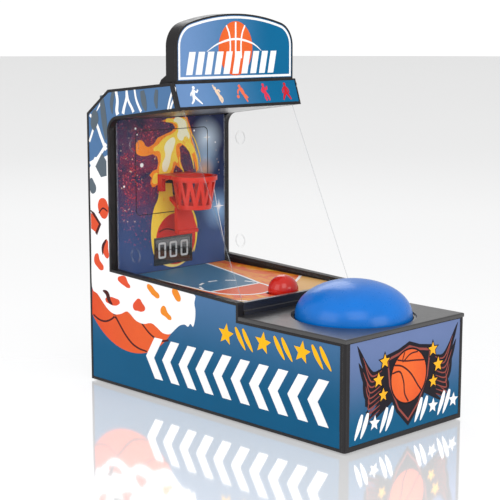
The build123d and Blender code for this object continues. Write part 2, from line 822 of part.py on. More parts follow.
sleeve_r = stem_r + 2.2
sleeve_height = 10.0
leg_reach = bezel_outer_r + bezel_flange + 6.3
arm_reach = leg_reach + 3.0
arm_width = 9.0
leg_length = 5.0
leg_width = 6.0
with BuildPart() as button_guide:
    with BuildSketch(over_button(guide_z)):
        Rectangle(2 * arm_reach, arm_width, rotation=45)
        Rectangle(2 * arm_reach, arm_width, rotation=-45)
        Circle(sleeve_r + leg_length)
    extrude(amount=guide_thick)
    with BuildSketch(over_button(guide_z + guide_thick)):
        Circle(sleeve_r)
    extrude(amount=sleeve_height)
    with BuildSketch(over_button(guide_z + guide_thick)):
        with PolarLocations(leg_reach, 4, start_angle=45):
            Rectangle(leg_length, leg_width)
    extrude(amount=deck_under_z - guide_z - guide_thick)
    with BuildSketch(over_button(guide_z)):
        Circle(stem_r + pin_gap)
    extrude(amount=guide_thick + sleeve_height, mode=Mode.SUBTRACT)

spring_low_z = guide_z + guide_thick
spring_mean_r = sleeve_r + spring_wire_r + 0.9
spring_height = stem_z - spring_low_z - 2 * spring_wire_r
with BuildPart() as button_spring:
    with BuildLine(over_button(spring_low_z + spring_wire_r)) as coil:
        Helix(pitch=spring_height / spring_turns, height=spring_height, radius=spring_mean_r)
    with BuildSketch(Plane(origin=coil.line @ 0, z_dir=coil.line % 0)):
        Circle(spring_wire_r)
    sweep(is_frenet=True)

# ---------------------------------------------------------------- launch lever
ear_thick = 2.5
ear_half_depth = 3.0
ear_face_x = lever_half_width + gap + ear_thick
bracket_plate = 2.0
bracket_wing = 4.0         # the plate's reach beyond the ears
bracket_length = 2 * (ear_face_x + bracket_wing)
pin_end = 0.8              # how far the pin stands out of the ears
with BuildPart() as lever_bracket:
    with Locations((0, pivot_y, deck_under_z - bracket_plate / 2)):
        Box(bracket_length, 2 * ear_half_depth, bracket_plate)
    with BuildSketch(across(0)):
        outline(
            (pivot_y - ear_half_depth, deck_under_z - bracket_plate),
            (pivot_y + ear_half_depth, deck_under_z - bracket_plate),
            (pivot_y + ear_half_depth, pivot_z - lever_boss_r),
            (pivot_y - ear_half_depth, pivot_z - lever_boss_r),
        )
    extrude(amount=ear_face_x, both=True)
    with Locations((0, pivot_y, deck_under_z - bracket_plate)):
        Box(
            2 * (lever_half_width + gap), 4 * ear_half_depth, 2 * pivot_drop,
            align=(Align.CENTER, Align.CENTER, Align.MAX), mode=Mode.SUBTRACT,
        )
    with Locations(lying(0, pivot_y, pivot_z)):
        Cylinder(pivot_pin_r, bracket_length, mode=Mode.SUBTRACT)

with BuildPart() as lever_pin:
    with Locations(lying(0, pivot_y, pivot_z)):
        Cylinder(pivot_pin_r, 2 * (ear_face_x + pin_end))

lever_end = 3.0            # the lever reaches this far past its foot and its cup
lever_half_thick = lever_thick / 2
with BuildPart() as launch_lever:
    with BuildSketch(across(-lever_half_width)):
        outline(
            (push_y - lever_end, push_z),
            (pivot_y - 5.5, push_z),
            (pivot_y - lever_boss_r, pivot_z - 1.0),
            (pivot_y, pivot_z + lever_half_thick),
            (launch_y + lever_end, pivot_z + lever_half_thick),
            (launch_y + lever_end, pivot_z - lever_half_thick),
            (pivot_y + lever_half_thick, pivot_z - 2.6),
            (pivot_y - lever_end, push_z - lever_thick),
            (push_y - lever_end, push_z - lever_thick),
        )
        with Locations((pivot_y, pivot_z)):
            Circle(lever_boss_r)
            Circle(pivot_pin_r + pin_gap, mode=Mode.SUBTRACT)
    extrude(amount=2 * lever_half_width)

cup_r = ball_r - 3.5
cup_hold = 1.2             # how far the cup's edge reaches above the ball's lowest point
cup_top_z = ball_rest_z - ball_r + cup_hold
cup_height = 2.7
cup_stem_r = 2.4
with BuildPart() as launch_cup:
    with BuildSketch(Plane(origin=(0, launch_y, pivot_z + lever_half_thick))):
        Circle(cup_stem_r)
    extrude(amount=cup_top_z - cup_height / 2 - pivot_z - lever_half_thick)
    with Locations((0, launch_y, cup_top_z)):
        Cylinder(cup_r, cup_height, align=(Align.CENTER, Align.CENTER, Align.MAX))
    with Locations((0, launch_y, ball_rest_z)):
        Sphere(ball_r + gap, mode=Mode.SUBTRACT)

with BuildPart() as ball:
    with Locations((0, launch_y, ball_rest_z)):
        Sphere(ball_r)

# ---------------------------------------------------------------- hoop
net_low_z = basket_low_z + 3.0
net_high_z = rim_low_z - 1.2
net_point = 5.0            # how far an opening's point stops short of the other row
cheek_depth = 5.0          # bracket's cheeks, from the backboard forwards

with BuildPart() as hoop:
    # Rim plate: a ring joined to a straight shelf on the backboard.
    with BuildSketch(Plane.XY.offset(rim_low_z)):
        with Locations((0, hoop_y)):
            Circle(rim_r)
        with Locations((0, (hoop_y + board_y) / 2)):
            Rectangle(2 * bracket_half_width, board_y - hoop_y)
        with Locations((0, hoop_y)):
            Circle(basket_top_r - basket_wall, mode=Mode.SUBTRACT)
    extrude(amount=rim_thick)
    # Basket: a tapered tube.
    with BuildSketch(Plane.XZ.offset(-hoop_y)):
        outline(
            (basket_top_r, rim_low_z),
            (basket_low_r, basket_low_z),
            (basket_low_r - basket_wall, basket_low_z),
            (basket_top_r - basket_wall, rim_low_z),
        )
    revolve(axis=Axis((0, hoop_y, 0), (0, 0, 1)))
    # Net openings: triangles that point up and down in turn.
    for index in range(2 * basket_ribs):
        turn = 360 / (2 * basket_ribs) * (index + 0.5)
        spoke = Plane(
            origin=(0, hoop_y, 0),
            x_dir=(-sin(radians(turn)), cos(radians(turn)), 0),
            z_dir=(cos(radians(turn)), sin(radians(turn)), 0),
        )
        wide_end_z = net_high_z if index % 2 else net_low_z
        narrow_end_z = net_low_z + net_point if index % 2 else net_high_z - net_point
        half_open = (net_opening if index % 2 else 0.8 * net_opening) / 2
        with BuildSketch(spoke):
            outline((-half_open, wide_end_z), (half_open, wide_end_z), (0, narrow_end_z))
        extrude(amount=1.25 * rim_r, mode=Mode.SUBTRACT)
    # Bracket: two cheeks under the shelf, open between them.
    for side in (-1, 1):
        with Locations((side * hoop_screw_x, board_y - cheek_depth / 2, rim_low_z)):
            Box(
                bracket_cheek, cheek_depth, bracket_drop,
                align=(Align.CENTER, Align.CENTER, Align.MAX),
            )
        with Locations(Location((side * hoop_screw_x, board_y, hoop_screw_z), (90, 0, 0))):
            Cylinder(screw_r, 6, mode=Mode.SUBTRACT)

with BuildPart() as hoop_screws:
    cross_head_screws(
        [(x, board_y + panel, hoop_screw_z) for x in (-hoop_screw_x, hoop_screw_x)],
        (-90, 0, 0), panel + 2.8,
    )

# ---------------------------------------------------------------- score flap
flap_top_z = basket_low_z - 0.4
flap_top_y = hoop_y + basket_low_r - gap
flap_low_z = flap_top_z - flap_height
flap_low_y = flap_top_y - 4.2
flap_lip_z = flap_low_z - flap_lip
flap_top_half = 6.4
flap_low_half = 9.0
arm_half_width = 3.2
arm_boss_r = 2.2

with BuildPart() as score_flap:
    # Tongue: narrow at the top, wide at the lip.
    with BuildSketch(facing(flap_low_y - 6)):
        outline(
            (-flap_top_half, flap_top_z),
            (flap_top_half, flap_top_z),
            (flap_low_half, flap_low_z),
            (flap_low_half, flap_lip_z),
            (-flap_low_half, flap_lip_z),
            (-flap_low_half, flap_low_z),
        )
    extrude(amount=-20)
    with BuildSketch(across(0)):
        outline(
            (flap_top_y, flap_top_z),
            (flap_low_y, flap_low_z),
            (flap_low_y - 1.3, flap_low_z - 0.4),
            (flap_low_y - 1.3, flap_lip_z),
            (flap_low_y + flap_thick + 0.6, flap_lip_z),
            (flap_top_y + flap_thick, flap_top_z),
        )
    extrude(amount=flap_low_half + 1, both=True, mode=Mode.INTERSECT)
    # Arm through the backboard's slot to the pin.
    with BuildSketch(across(-arm_half_width)):
        outline(
            (flap_top_y + 0.8, flap_top_z),
            (board_y - 1.0, flap_pivot_z + 0.6),
            (flap_pivot_y, flap_pivot_z + 2.0),
            (flap_pivot_y, flap_pivot_z - 2.0),
            (board_y - 1.0, flap_pivot_z - 2.2),
            (flap_top_y + 1.0, flap_top_z - 3.6),
        )
        with Locations((flap_pivot_y, flap_pivot_z)):
            Circle(arm_boss_r)
    extrude(amount=2 * arm_half_width)
    # Toe behind the pin that presses the score switch.
    with Locations((0, flap_pivot_y + 3.4, flap_pivot_z)):
        Box(4, 4, 1.8)
    with Locations(lying(0, flap_pivot_y, flap_pivot_z)):
        Cylinder(flap_pin_r + pin_gap, 4 * arm_half_width, mode=Mode.SUBTRACT)

board_back_y = board_y + panel
flap_ear = 2.0             # thickness of the bracket's ears
flap_ear_height = 8.0
flap_ear_x = arm_half_width + gap + 0.2 + flap_ear / 2
flap_ear_depth = flap_pivot_set + 2.6
flap_wing = 5.2            # the bracket's tabs on the backboard
flap_wing_thick = 1.6
with BuildPart() as flap_bracket:
    with Locations((-flap_ear_x, board_back_y, flap_pivot_z), (flap_ear_x, board_back_y, flap_pivot_z)):
        Box(flap_ear, flap_ear_depth, flap_ear_height, align=on_board)
    with GridLocations(2 * (flap_ear_x + flap_wing / 2), 0, 2, 1):
        with Locations((0, board_back_y, flap_pivot_z)):
            Box(flap_wing, flap_wing_thick, flap_ear_height, align=on_board)
    with Locations(lying(0, flap_pivot_y, flap_pivot_z)):
        Cylinder(flap_pin_r, 4 * flap_ear_x, mode=Mode.SUBTRACT)

with BuildPart() as flap_pin:
    with Locations(lying(0, flap_pivot_y, flap_pivot_z)):
        Cylinder(flap_pin_r, 2 * (flap_ear_x + pin_end) + flap_ear - 0.4)

# ---------------------------------------------------------------- display and electronics
glass_y = board_y - display_proud + 0.4
glass_height = display_height - 2 * display_rim
glass_width = 2 * (display_half_width - display_rim)

with BuildPart() as display_frame:
    with BuildSketch(facing(board_y - display_proud)):
        with Locations((0, display_mid_z)):
            Rectangle(2 * (display_half_width - 0.1), display_height - 0.2)
            Rectangle(glass_width, glass_height, mode=Mode.SUBTRACT)
    extrude(amount=-(display_proud + panel))

with BuildPart() as display_glass:
    with BuildSketch(facing(glass_y)):
        with Locations((0, display_mid_z)):
            Rectangle(glass_width, glass_height)
    extrude(amount=-glass_thick)

digit_corner_r = 1.6
digit_thick = 0.12
with BuildPart() as display_digits:
    with BuildSketch(facing(glass_y)):
        with Locations(*[(column * digit_pitch, display_mid_z + 0.4) for column in (-1, 0, 1)]):
            RectangleRounded(digit_width, digit_height, digit_corner_r)
            Rectangle(
                digit_width - 2 * digit_stroke, digit_height - 2 * digit_stroke,
                mode=Mode.SUBTRACT,
            )
            Rectangle(digit_width + 1, 0.5, mode=Mode.SUBTRACT)
    extrude(amount=digit_thick)

board_thick = 1.6
board_set = 7.0            # circuit board behind the backboard
circuit_y = board_back_y + board_set
circuit_width = 64.0
circuit_height = 44.0
chip_x = 22.0              # the driver under its black blob
chip_z = display_mid_z - 5.75
chip_r = 4.0
with BuildPart() as main_board:
    with Locations((0, circuit_y + board_thick / 2, display_mid_z + 2.25)):
        Box(circuit_width, board_thick, circuit_height)
    # Display module between the board and the glass.
    with BuildSketch(facing(glass_y + glass_thick)):
        with Locations((0, display_mid_z)):
            Rectangle(glass_width - 2 * gap, glass_height - gap)
    extrude(amount=-(circuit_y - glass_y - glass_thick))
    with Locations(Location((chip_x, circuit_y + board_thick, chip_z), (-90, 0, 0))):
        Cylinder(chip_r, 1.4, align=(Align.CENTER, Align.CENTER, Align.MIN))

with BuildPart() as score_switch:
    with Locations((0, flap_pivot_y + 6.9, flap_pivot_z + 6.4)):
        Box(6, 6, 5)
    with Locations((0, flap_pivot_y + 4.9, flap_pivot_z + 3.0)):
        Box(2.4, 2.4, 1.8)
    # Foot that carries the switch on the backboard, beside the flap's arm.
    with Locations((6.6, board_back_y, flap_pivot_z + 7.4)):
        Box(8, flap_pivot_set + 9.9, 3, align=on_board)

speaker_r = 14.0
speaker_rim = 3.0
speaker_magnet = 4.0
with BuildPart() as speaker:
    with Locations(Location((0, inner_rear_y, speaker_z), (90, 0, 0))):
        Cylinder(speaker_r, speaker_rim, align=(Align.CENTER, Align.CENTER, Align.MIN))
        with Locations((0, 0, speaker_rim)):
            Cylinder(
                speaker_r - 5, speaker_magnet, align=(Align.CENTER, Align.CENTER, Align.MIN)
            )

slide_travel = 4.0
knob = 3.2
knob_width = 4.4
with BuildPart() as switch_body:
    with Locations((0, inner_rear_y - 3, switch_z)):
        Box(19, 6, 8)
    with Locations((0, inner_rear_y - 0.5, switch_z)):
        Box(2 * switch_slot_half - 1, 3, 4, mode=Mode.SUBTRACT)

with BuildPart() as switch_knob:
    with Locations((-slide_travel / 2, inner_rear_y - 0.1, switch_z)):
        Box(knob_width, knob, knob)
    with Locations((-slide_travel / 2, rear_y - 0.9, switch_z)):
        Box(knob_width, knob / 2, knob)
    grip_edges = switch_knob.edges().filter_by(Axis.Z).group_by(Axis.Y)[-1]
    fillet(grip_edges, 0.5)

# ---------------------------------------------------------------- batteries and their door
tray_wall = 1.5
tray_half = door_half_width + 1.0
battery_y = inner_rear_y - battery_set
tray_front_y = battery_y - 10.5
tray_low_z = door_opening_low_z - 0.6
tray_high_z = door_opening_high_z + 0.6
tray_mid_z = (tray_low_z + tray_high_z) / 2

with BuildPart() as battery_tray:
    with BuildSketch(facing(tray_front_y)):
        with Locations((0, tray_mid_z)):
            Rectangle(2 * (tray_half + tray_wall), tray_high_z - tray_low_z + 2 * tray_wall)
    extrude(amount=-(inner_rear_y - tray_front_y))
    with BuildSketch(facing(tray_front_y + tray_wall)):
        with Locations((0, tray_mid_z)):
            Rectangle(2 * tray_half, tray_high_z - tray_low_z)
    extrude(amount=-(inner_rear_y - tray_front_y - tray_wall), mode=Mode.SUBTRACT)

battery_low_z = door_low_z + battery_lift
battery_z = [battery_low_z, battery_low_z + battery_pitch]
cell_cap_r = 2.6
cell_cap = 1.4             # height of the cell's raised contact
with BuildPart() as batteries:
    for index, cell_z in enumerate(battery_z):
        tip = 1 if index % 2 else -1
        with Locations(lying(0, battery_y, cell_z)):
            Cylinder(battery_r, battery_length - 2)
        with Locations(lying(tip * (battery_length / 2 - 0.5), battery_y, cell_z)):
            Cylinder(cell_cap_r, cell_cap)

contact = 0.6              # thickness of a contact plate
contact_width = 11.0
contact_end = 5.0          # how far a plate reaches past the cells' axes
contact_r = 4.2            # wide end of a contact spring
with BuildPart() as battery_contacts:
    for side in (-1, 1):
        plate_x = side * (tray_half - contact / 2)
        with Locations((plate_x, battery_y, battery_low_z + battery_pitch / 2)):
            Box(contact, contact_width, battery_pitch + 2 * contact_end)
    for index, cell_z in enumerate(battery_z):
        side = 1 if index % 2 else -1
        for end, reach in ((side, battery_length / 2 + 0.3), (-side, battery_length / 2 - 0.9)):
            length = tray_half - contact - reach
            middle = (end * (reach + length / 2), battery_y, cell_z)
            with Locations(Location(middle, (0, end * 90, 0))):
                Cone(contact_r, cell_cap_r, length)

door_screw_z = door_high_z - 4.0
door_screw_y = rear_y - 1.1
ridge_count = 5            # grip ridges
ridge_pitch = 2.2
ridge_width = 18.0
ridge_low_z = door_low_z + 7.0
with BuildPart() as battery_door:
    with BuildSketch(across(-door_half_width)):
        with Locations((door_axis_y, (door_low_z + door_high_z) / 2)):
            Rectangle(door_thick, door_high_z - door_low_z)
        with Locations((door_axis_y, door_low_z)):
            Circle(door_thick / 2)
    extrude(amount=2 * door_half_width)
    with Locations(lying(0, door_axis_y, door_low_z)):
        Cylinder(peg_r, 2 * (door_opening_half + peg_length))
    # Grip ridges and the screw's sunk seat.
    for row in range(ridge_count):
        with Locations((0, rear_y - door_inset, ridge_low_z + ridge_pitch * row)):
            Box(ridge_width, 0.8, 1.0, mode=Mode.SUBTRACT)
    with Locations(Location((0, rear_y, door_screw_z), (90, 0, 0))):
        Cylinder(screw_head_r + gap, 2 * (rear_y - door_screw_y), mode=Mode.SUBTRACT)
        Cylinder(screw_r, 6 * door_thick, mode=Mode.SUBTRACT)

with BuildPart() as door_screw:
    cross_head_screws([(0, door_screw_y, door_screw_z)], (-90, 0, 0), 2.0)

# ---------------------------------------------------------------- wires inside the bay
wire_r = 0.7
wire_length = 70.0
wire_x = (-26.0, -23.0)
wire_y = battery_y + 4.5
with BuildPart() as battery_wires:
    with BuildSketch(Plane.XY.offset(tray_high_z + tray_wall)):
        with Locations(*[(x, wire_y) for x in wire_x]):
            Circle(wire_r)
    extrude(amount=wire_length)

# ---------------------------------------------------------------- files
pieces = {
    "left_side_wall": left_side_wall,
    "right_side_wall": right_side_wall,
    "left_side_sheet": left_side_sheet,
    "right_side_sheet": right_side_sheet,
    "front_panel": front_panel,
    "front_sheet": front_sheet,
    "deck_cover": deck_cover,
    "button_bezel": button_bezel,
    "court_riser": court_riser,
    "court_floor": court_floor,
    "court_sheet": court_sheet,
    "backboard": backboard,
    "backboard_sheet": backboard_sheet,
    "roof_panel": roof_panel,
    "soffit_panel": soffit_panel,
    "visor_panel": visor_panel,
    "visor_sheet": visor_sheet,
    "header_shell": header_shell,
    "header_sign": header_sign,
    "header_sheet": header_sheet,
    "left_window": left_window,
    "right_window": right_window,
    "base_plate": base_plate,
    "rubber_feet": rubber_feet,
    "rear_cover": rear_cover,
    "rear_screws": rear_screws,
    "base_screws": base_screws,
    "dome_button": dome_button,
    "button_stem": button_stem,
    "button_guide": button_guide,
    "button_spring": button_spring,
    "lever_bracket": lever_bracket,
    "lever_pin": lever_pin,
    "launch_lever": launch_lever,
    "launch_cup": launch_cup,
    "ball": ball,
    "hoop": hoop,
    "hoop_screws": hoop_screws,
    "score_flap": score_flap,
    "flap_bracket": flap_bracket,
    "flap_pin": flap_pin,
    "display_frame": display_frame,
    "display_glass": display_glass,
    "display_digits": display_digits,
    "main_board": main_board,
    "score_switch": score_switch,
    "speaker": speaker,
    "switch_body": switch_body,
    "switch_knob": switch_knob,
    "battery_tray": battery_tray,
    "batteries": batteries,
    "battery_contacts": battery_contacts,
    "battery_door": battery_door,
    "door_screw": door_screw,
    "battery_wires": battery_wires,
}
for name, piece in pieces.items():
    save(piece.part, name)
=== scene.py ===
import math

import bpy
from mathutils import Matrix, Vector


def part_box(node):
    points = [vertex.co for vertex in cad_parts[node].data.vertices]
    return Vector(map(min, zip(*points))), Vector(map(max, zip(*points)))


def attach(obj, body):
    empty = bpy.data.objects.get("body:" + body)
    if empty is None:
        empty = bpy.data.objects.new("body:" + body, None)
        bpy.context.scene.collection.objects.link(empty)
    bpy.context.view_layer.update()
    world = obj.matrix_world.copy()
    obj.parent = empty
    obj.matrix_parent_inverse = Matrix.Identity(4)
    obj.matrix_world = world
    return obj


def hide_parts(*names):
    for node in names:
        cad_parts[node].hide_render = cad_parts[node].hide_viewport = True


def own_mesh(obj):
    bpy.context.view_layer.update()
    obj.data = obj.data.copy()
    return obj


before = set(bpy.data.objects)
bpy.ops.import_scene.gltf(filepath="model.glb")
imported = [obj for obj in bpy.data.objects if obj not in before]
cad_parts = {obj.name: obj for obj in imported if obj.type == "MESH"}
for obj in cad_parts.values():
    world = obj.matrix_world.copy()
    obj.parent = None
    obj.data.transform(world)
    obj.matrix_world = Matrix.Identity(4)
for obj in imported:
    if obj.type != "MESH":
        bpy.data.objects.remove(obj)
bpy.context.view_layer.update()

bl_info = {
    "name": "Desktop Basketball Machine",
    "version": (1, 0, 0),
    "blender": (4, 5, 0),
    "location": "View3D > Sidebar > Basketball",
    "description": "Finishes and printed artwork for a desktop basketball machine",
    "category": "Object",
}

MM = 0.001
UP = (0, 0, 1)
WELD = 0.0008              # in millimetres: closer knots of a drawing become one
CURVE_STEPS = 4            # straight pieces between two knots of a drawing
VISOR_SLOPE = (0.0, 5.7, 17.4)
COURT_SLOPE = 0.0144       # rise over run
SHEET_WELD = 0.001 * MM    # corners of a sheet closer than this become one
SAME_PLANE = 0.01 * MM     # faces of a sheet closer than this lie in one plane


# ---------------------------------------------------------------- settings


def paint(red, green, blue):
    """An 8-bit display colour as the linear colour that a shader takes."""
    shares = [channel / 255 for channel in (red, green, blue)]
    linear = [
        share / 12.92 if share <= 0.04045 else ((share + 0.055) / 1.055) ** 2.4
        for share in shares
    ]
    return (*linear, 1.0)


def colour(label, description, red, green, blue):
    """A colour setting."""
    return bpy.props.FloatVectorProperty(
        name=label,
        description=description,
        subtype="COLOR",
        size=4,
        min=0.0,
        max=1.0,
        default=paint(red, green, blue),
    )


def length(label, description, default):
    """A size setting, in metres."""
    return bpy.props.FloatProperty(
        name=label,
        description=description,
        subtype="DISTANCE",
        unit="LENGTH",
        min=0.0,
        precision=6,
        default=default,
    )


def share(label, description, default):
    """A setting from 0 to 1."""
    return bpy.props.FloatProperty(
        name=label, description=description, subtype="FACTOR", min=0.0, max=1.0, default=default
    )


class MachineColours(bpy.types.PropertyGroup):
    """Colours of the mouldings, of the labels and of the inks."""

    cabinet_black: colour("Cabinet black", "Satin black mouldings", 33, 31, 32)
    inner_black: colour("Inner black", "Mouldings inside the cabinet", 50, 50, 52)
    trim_black: colour("Trim black", "Polished trim round the button and the display", 24, 24, 26)
    feet_black: colour("Feet", "Rubber feet", 33, 33, 33)
    dome_blue: colour("Dome", "The big push button", 0, 114, 208)
    hoop_red: colour("Hoop", "Hoop, flap and launch cup", 208, 40, 22)
    ball_red: colour("Ball", "The moulded ball", 206, 34, 24)
    steel: colour("Steel", "Screws, pins and springs", 190, 192, 196)
    # the windows' white base colour, shown at a glance, is partly a painted reflection
    window: colour("Window", "Clear side windows", 238, 244, 248)
    lcd_black: colour("Display", "Display window", 14, 14, 15)
    lcd_grey: colour("Digits", "Display digits", 196, 198, 196)
    label_top: colour("Side label, top", "Pale end of the side label", 82, 119, 162)
    label_foot: colour("Side label, foot", "Deep end of the side label", 2, 86, 126)
    front_top: colour("Front label, top", "Pale end of the front label", 106, 124, 168)
    front_foot: colour("Front label, foot", "Deep end of the front label", 2, 90, 130)
    header_left: colour("Header, left", "Pale end of the header and visor", 110, 146, 194)
    header_right: colour("Header, right", "Deep end of the header and visor", 4, 104, 150)
    night_navy: colour("Backboard, dark", "Dark part of the backboard", 26, 28, 60)
    night_blue: colour("Backboard, blue", "Blue part of the backboard", 58, 84, 138)
    lane_blue: colour("Lane", "Blue lane on the court", 62, 116, 152)
    court_orange: colour("Court", "Orange part of the court", 234, 96, 44)
    court_tan: colour("Court corner", "Tan part of the court", 232, 182, 112)
    white_ink: colour("White ink", "White ink on all the labels", 250, 250, 250)
    ball_orange: colour("Orange ink", "Printed balls", 240, 112, 50)
    ball_deep: colour("Deep orange ink", "Shaded side of the printed balls", 222, 78, 42)
    seam_brown: colour("Seam ink", "Seams of the printed balls", 74, 26, 26)
    spot_red: colour("Red spots", "Red spots in the net", 226, 84, 50)
    spot_amber: colour("Amber spots", "Amber spots in the net", 240, 142, 42)
    net_slate: colour("Net shade", "Slate spots in the net", 92, 104, 114)
    brush_yellow: colour("Yellow ink", "Brush strokes on the side", 248, 186, 22)
    shield_black: colour("Shield", "Dark parts of the front emblem", 26, 22, 32)
    shield_brown: colour("Shield line", "Fine lines of the front emblem", 150, 74, 66)
    star_gold: colour("Gold ink", "Stars of the front emblem", 252, 184, 40)
    flame_orange: colour("Flame edge", "Outer part of the flame", 255, 146, 38)
    flame_yellow: colour("Flame", "Middle of the flame", 255, 222, 76)
    flame_cream: colour("Flame core", "Brightest part of the flame", 255, 253, 218)


class MachineSizes(bpy.types.PropertyGroup):
    """Sizes and surface qualities that change the look but not the shape."""

    ink_step: length("Ink step", "Height of one layer of ink", 0.04 * MM)
    stack_step: length("Stack step", "Rise from one crossing stroke to the next", 0.002 * MM)
    edge_radius: length("Edge radius", "Softness of the moulded edges", 0.35 * MM)
    header_gap: length("Header gap", "Bare edge round the header's white line", 0.5 * MM)
    header_line: length("Header line", "Width of the header's white line", 1.5 * MM)
    black_gloss: share("Black roughness", "Roughness of the satin mouldings", 0.36)
    print_gloss: share("Label roughness", "Roughness of the printed labels", 0.34)
    window_tint: share("Window tint", "How much of the window shows head on", 0.012)


# ---------------------------------------------------------------- shading


def feed(tree, node, values):
    """Sets a node's inputs. Values are constants or sockets."""
    for key, value in values.items():
        if isinstance(value, bpy.types.NodeSocket):
            tree.links.new(value, node.inputs[key])
        else:
            node.inputs[key].default_value = value


def add(tree, kind, values=None, **settings):
    """Adds a node with its settings and its inputs."""
    made = tree.nodes.new(kind)
    for key, value in settings.items():
        setattr(made, key, value)
    feed(tree, made, values or {})
    return made


def object_place(tree):
    """The point's own coordinates on the object."""
    return add(tree, "ShaderNodeTexCoord").outputs["Object"]


def stretched(tree, place, scale, rotation=(0.0, 0.0, 0.0)):
    """Coordinates turned and scaled, for streaks and licks."""
    values = {"Vector": place, "Rotation": rotation, "Scale": scale}
    return add(tree, "ShaderNodeMapping", values).outputs["Vector"]


def cells(tree, place, scale):
    """Distance to the nearest of many scattered points."""
    return add(tree, "ShaderNodeTexVoronoi", {"Vector": place, "Scale": scale}).outputs["Distance"]


def bumped(tree, height, strength, distance, **normal):
    """A normal that follows a height, in millimetres."""
    values = {"Strength": strength, "Distance": distance * MM, "Height": height, **normal}
    return add(tree, "ShaderNodeBump", values).outputs["Normal"]


def maths(tree, operation, first, second=0.0, clamp=False):
    """A Math node's result."""
    return add(tree, "ShaderNodeMath", {0: first, 1: second}, operation=operation, use_clamp=clamp).outputs[0]


def blend_colours(tree, factor, first, second, mode="MIX"):
    """A Mix node's colour."""
    values = {"Factor": factor, 6: first, 7: second}
    return add(tree, "ShaderNodeMix", values, data_type="RGBA", blend_type=mode).outputs[2]


def noise(tree, place, scale, detail=2.0, roughness=0.5, distortion=0.0):
    """A Noise Texture's value."""
    values = {"Vector": place, "Scale": scale, "Detail": detail}
    values |= {"Roughness": roughness, "Distortion": distortion}
    return add(tree, "ShaderNodeTexNoise", values).outputs["Fac"]


def spread(tree, value, low, high, to_low=0.0, to_high=1.0, smooth=False):
    """A Map Range node's result."""
    values = {"Value": value, "From Min": low, "From Max": high, "To Min": to_low, "To Max": to_high}
    kind = "SMOOTHSTEP" if smooth else "LINEAR"
    return add(tree, "ShaderNodeMapRange", values, interpolation_type=kind).outputs["Result"]


def new_group(name, inputs, outputs):
    """An empty node group with its sockets, and its input and output nodes."""
    group = bpy.data.node_groups.new(name, "ShaderNodeTree")
    for label, kind, default in inputs:
        socket = group.interface.new_socket(label, in_out="INPUT", socket_type=kind)
        if default is not None:
            socket.default_value = default
    for label, kind in outputs:
        group.interface.new_socket(label, in_out="OUTPUT", socket_type=kind)
    return group, group.nodes.new("NodeGroupInput"), group.nodes.new("NodeGroupOutput")


EDGE_PALING = (0.16, 0.16, 0.16, 1.0)    # added to a colour where edges are rubbed
HAZE_PALING = (1.5, 1.5, 1.55, 1.0)      # multiplies a colour under handling haze
FLOAT, RGB, VECTOR = "NodeSocketFloat", "NodeSocketColor", "NodeSocketVector"
SURFACE_OUTPUTS = [("Colour", RGB), ("Roughness", FLOAT), ("Normal", VECTOR)]


def moulded_surface(edge_radius):
    """Moulded plastic: fine spark-eroded grain, handling marks, and paler, glossier edges."""
    inputs = [
        ("Colour", RGB, None),
        ("Gloss", FLOAT, 0.4),
        ("Grain", FLOAT, 2600.0),
        ("Depth", FLOAT, 0.3),
        ("Wear", FLOAT, 0.3),
    ]
    tree, given, out = new_group("moulded_surface", inputs, SURFACE_OUTPUTS)
    place = object_place(tree)
    grain = noise(tree, place, given.outputs["Grain"], 3.0, 0.6)
    haze = noise(tree, place, 34.0, 4.0, 0.55)
    smears = noise(tree, place, 120.0, 3.0, 0.7, 1.5)
    soft = add(tree, "ShaderNodeBevel", {"Radius": edge_radius}, samples=4).outputs["Normal"]
    flat = add(tree, "ShaderNodeNewGeometry").outputs["Normal"]
    meeting = add(tree, "ShaderNodeVectorMath", {0: soft, 1: flat}, operation="DOT_PRODUCT").outputs["Value"]
    edge = spread(tree, meeting, 0.995, 0.86)
    chips = spread(tree, noise(tree, place, 420.0, 3.0, 0.6), 0.42, 0.62)
    rubbed = maths(tree, "MULTIPLY", maths(tree, "MULTIPLY", edge, chips), given.outputs["Wear"])
    pale = blend_colours(tree, 1.0, given.outputs["Colour"], EDGE_PALING, "ADD")
    shaded = blend_colours(
        tree,
        spread(tree, haze, 0.3, 0.7, 0.0, 0.35),
        given.outputs["Colour"],
        blend_colours(tree, 1.0, given.outputs["Colour"], HAZE_PALING, "MULTIPLY"),
    )
    mottled = maths(tree, "ADD", given.outputs["Gloss"], spread(tree, smears, 0.3, 0.7, -0.05, 0.07))
    speckled = maths(tree, "ADD", mottled, spread(tree, grain, 0.3, 0.7, -0.03, 0.04))
    feed(tree, out, {
        "Colour": blend_colours(tree, rubbed, shaded, pale),
        "Roughness": maths(tree, "SUBTRACT", speckled, maths(tree, "MULTIPLY", rubbed, 0.3), True),
        "Normal": bumped(tree, grain, given.outputs["Depth"], 0.02, Normal=soft),
    })


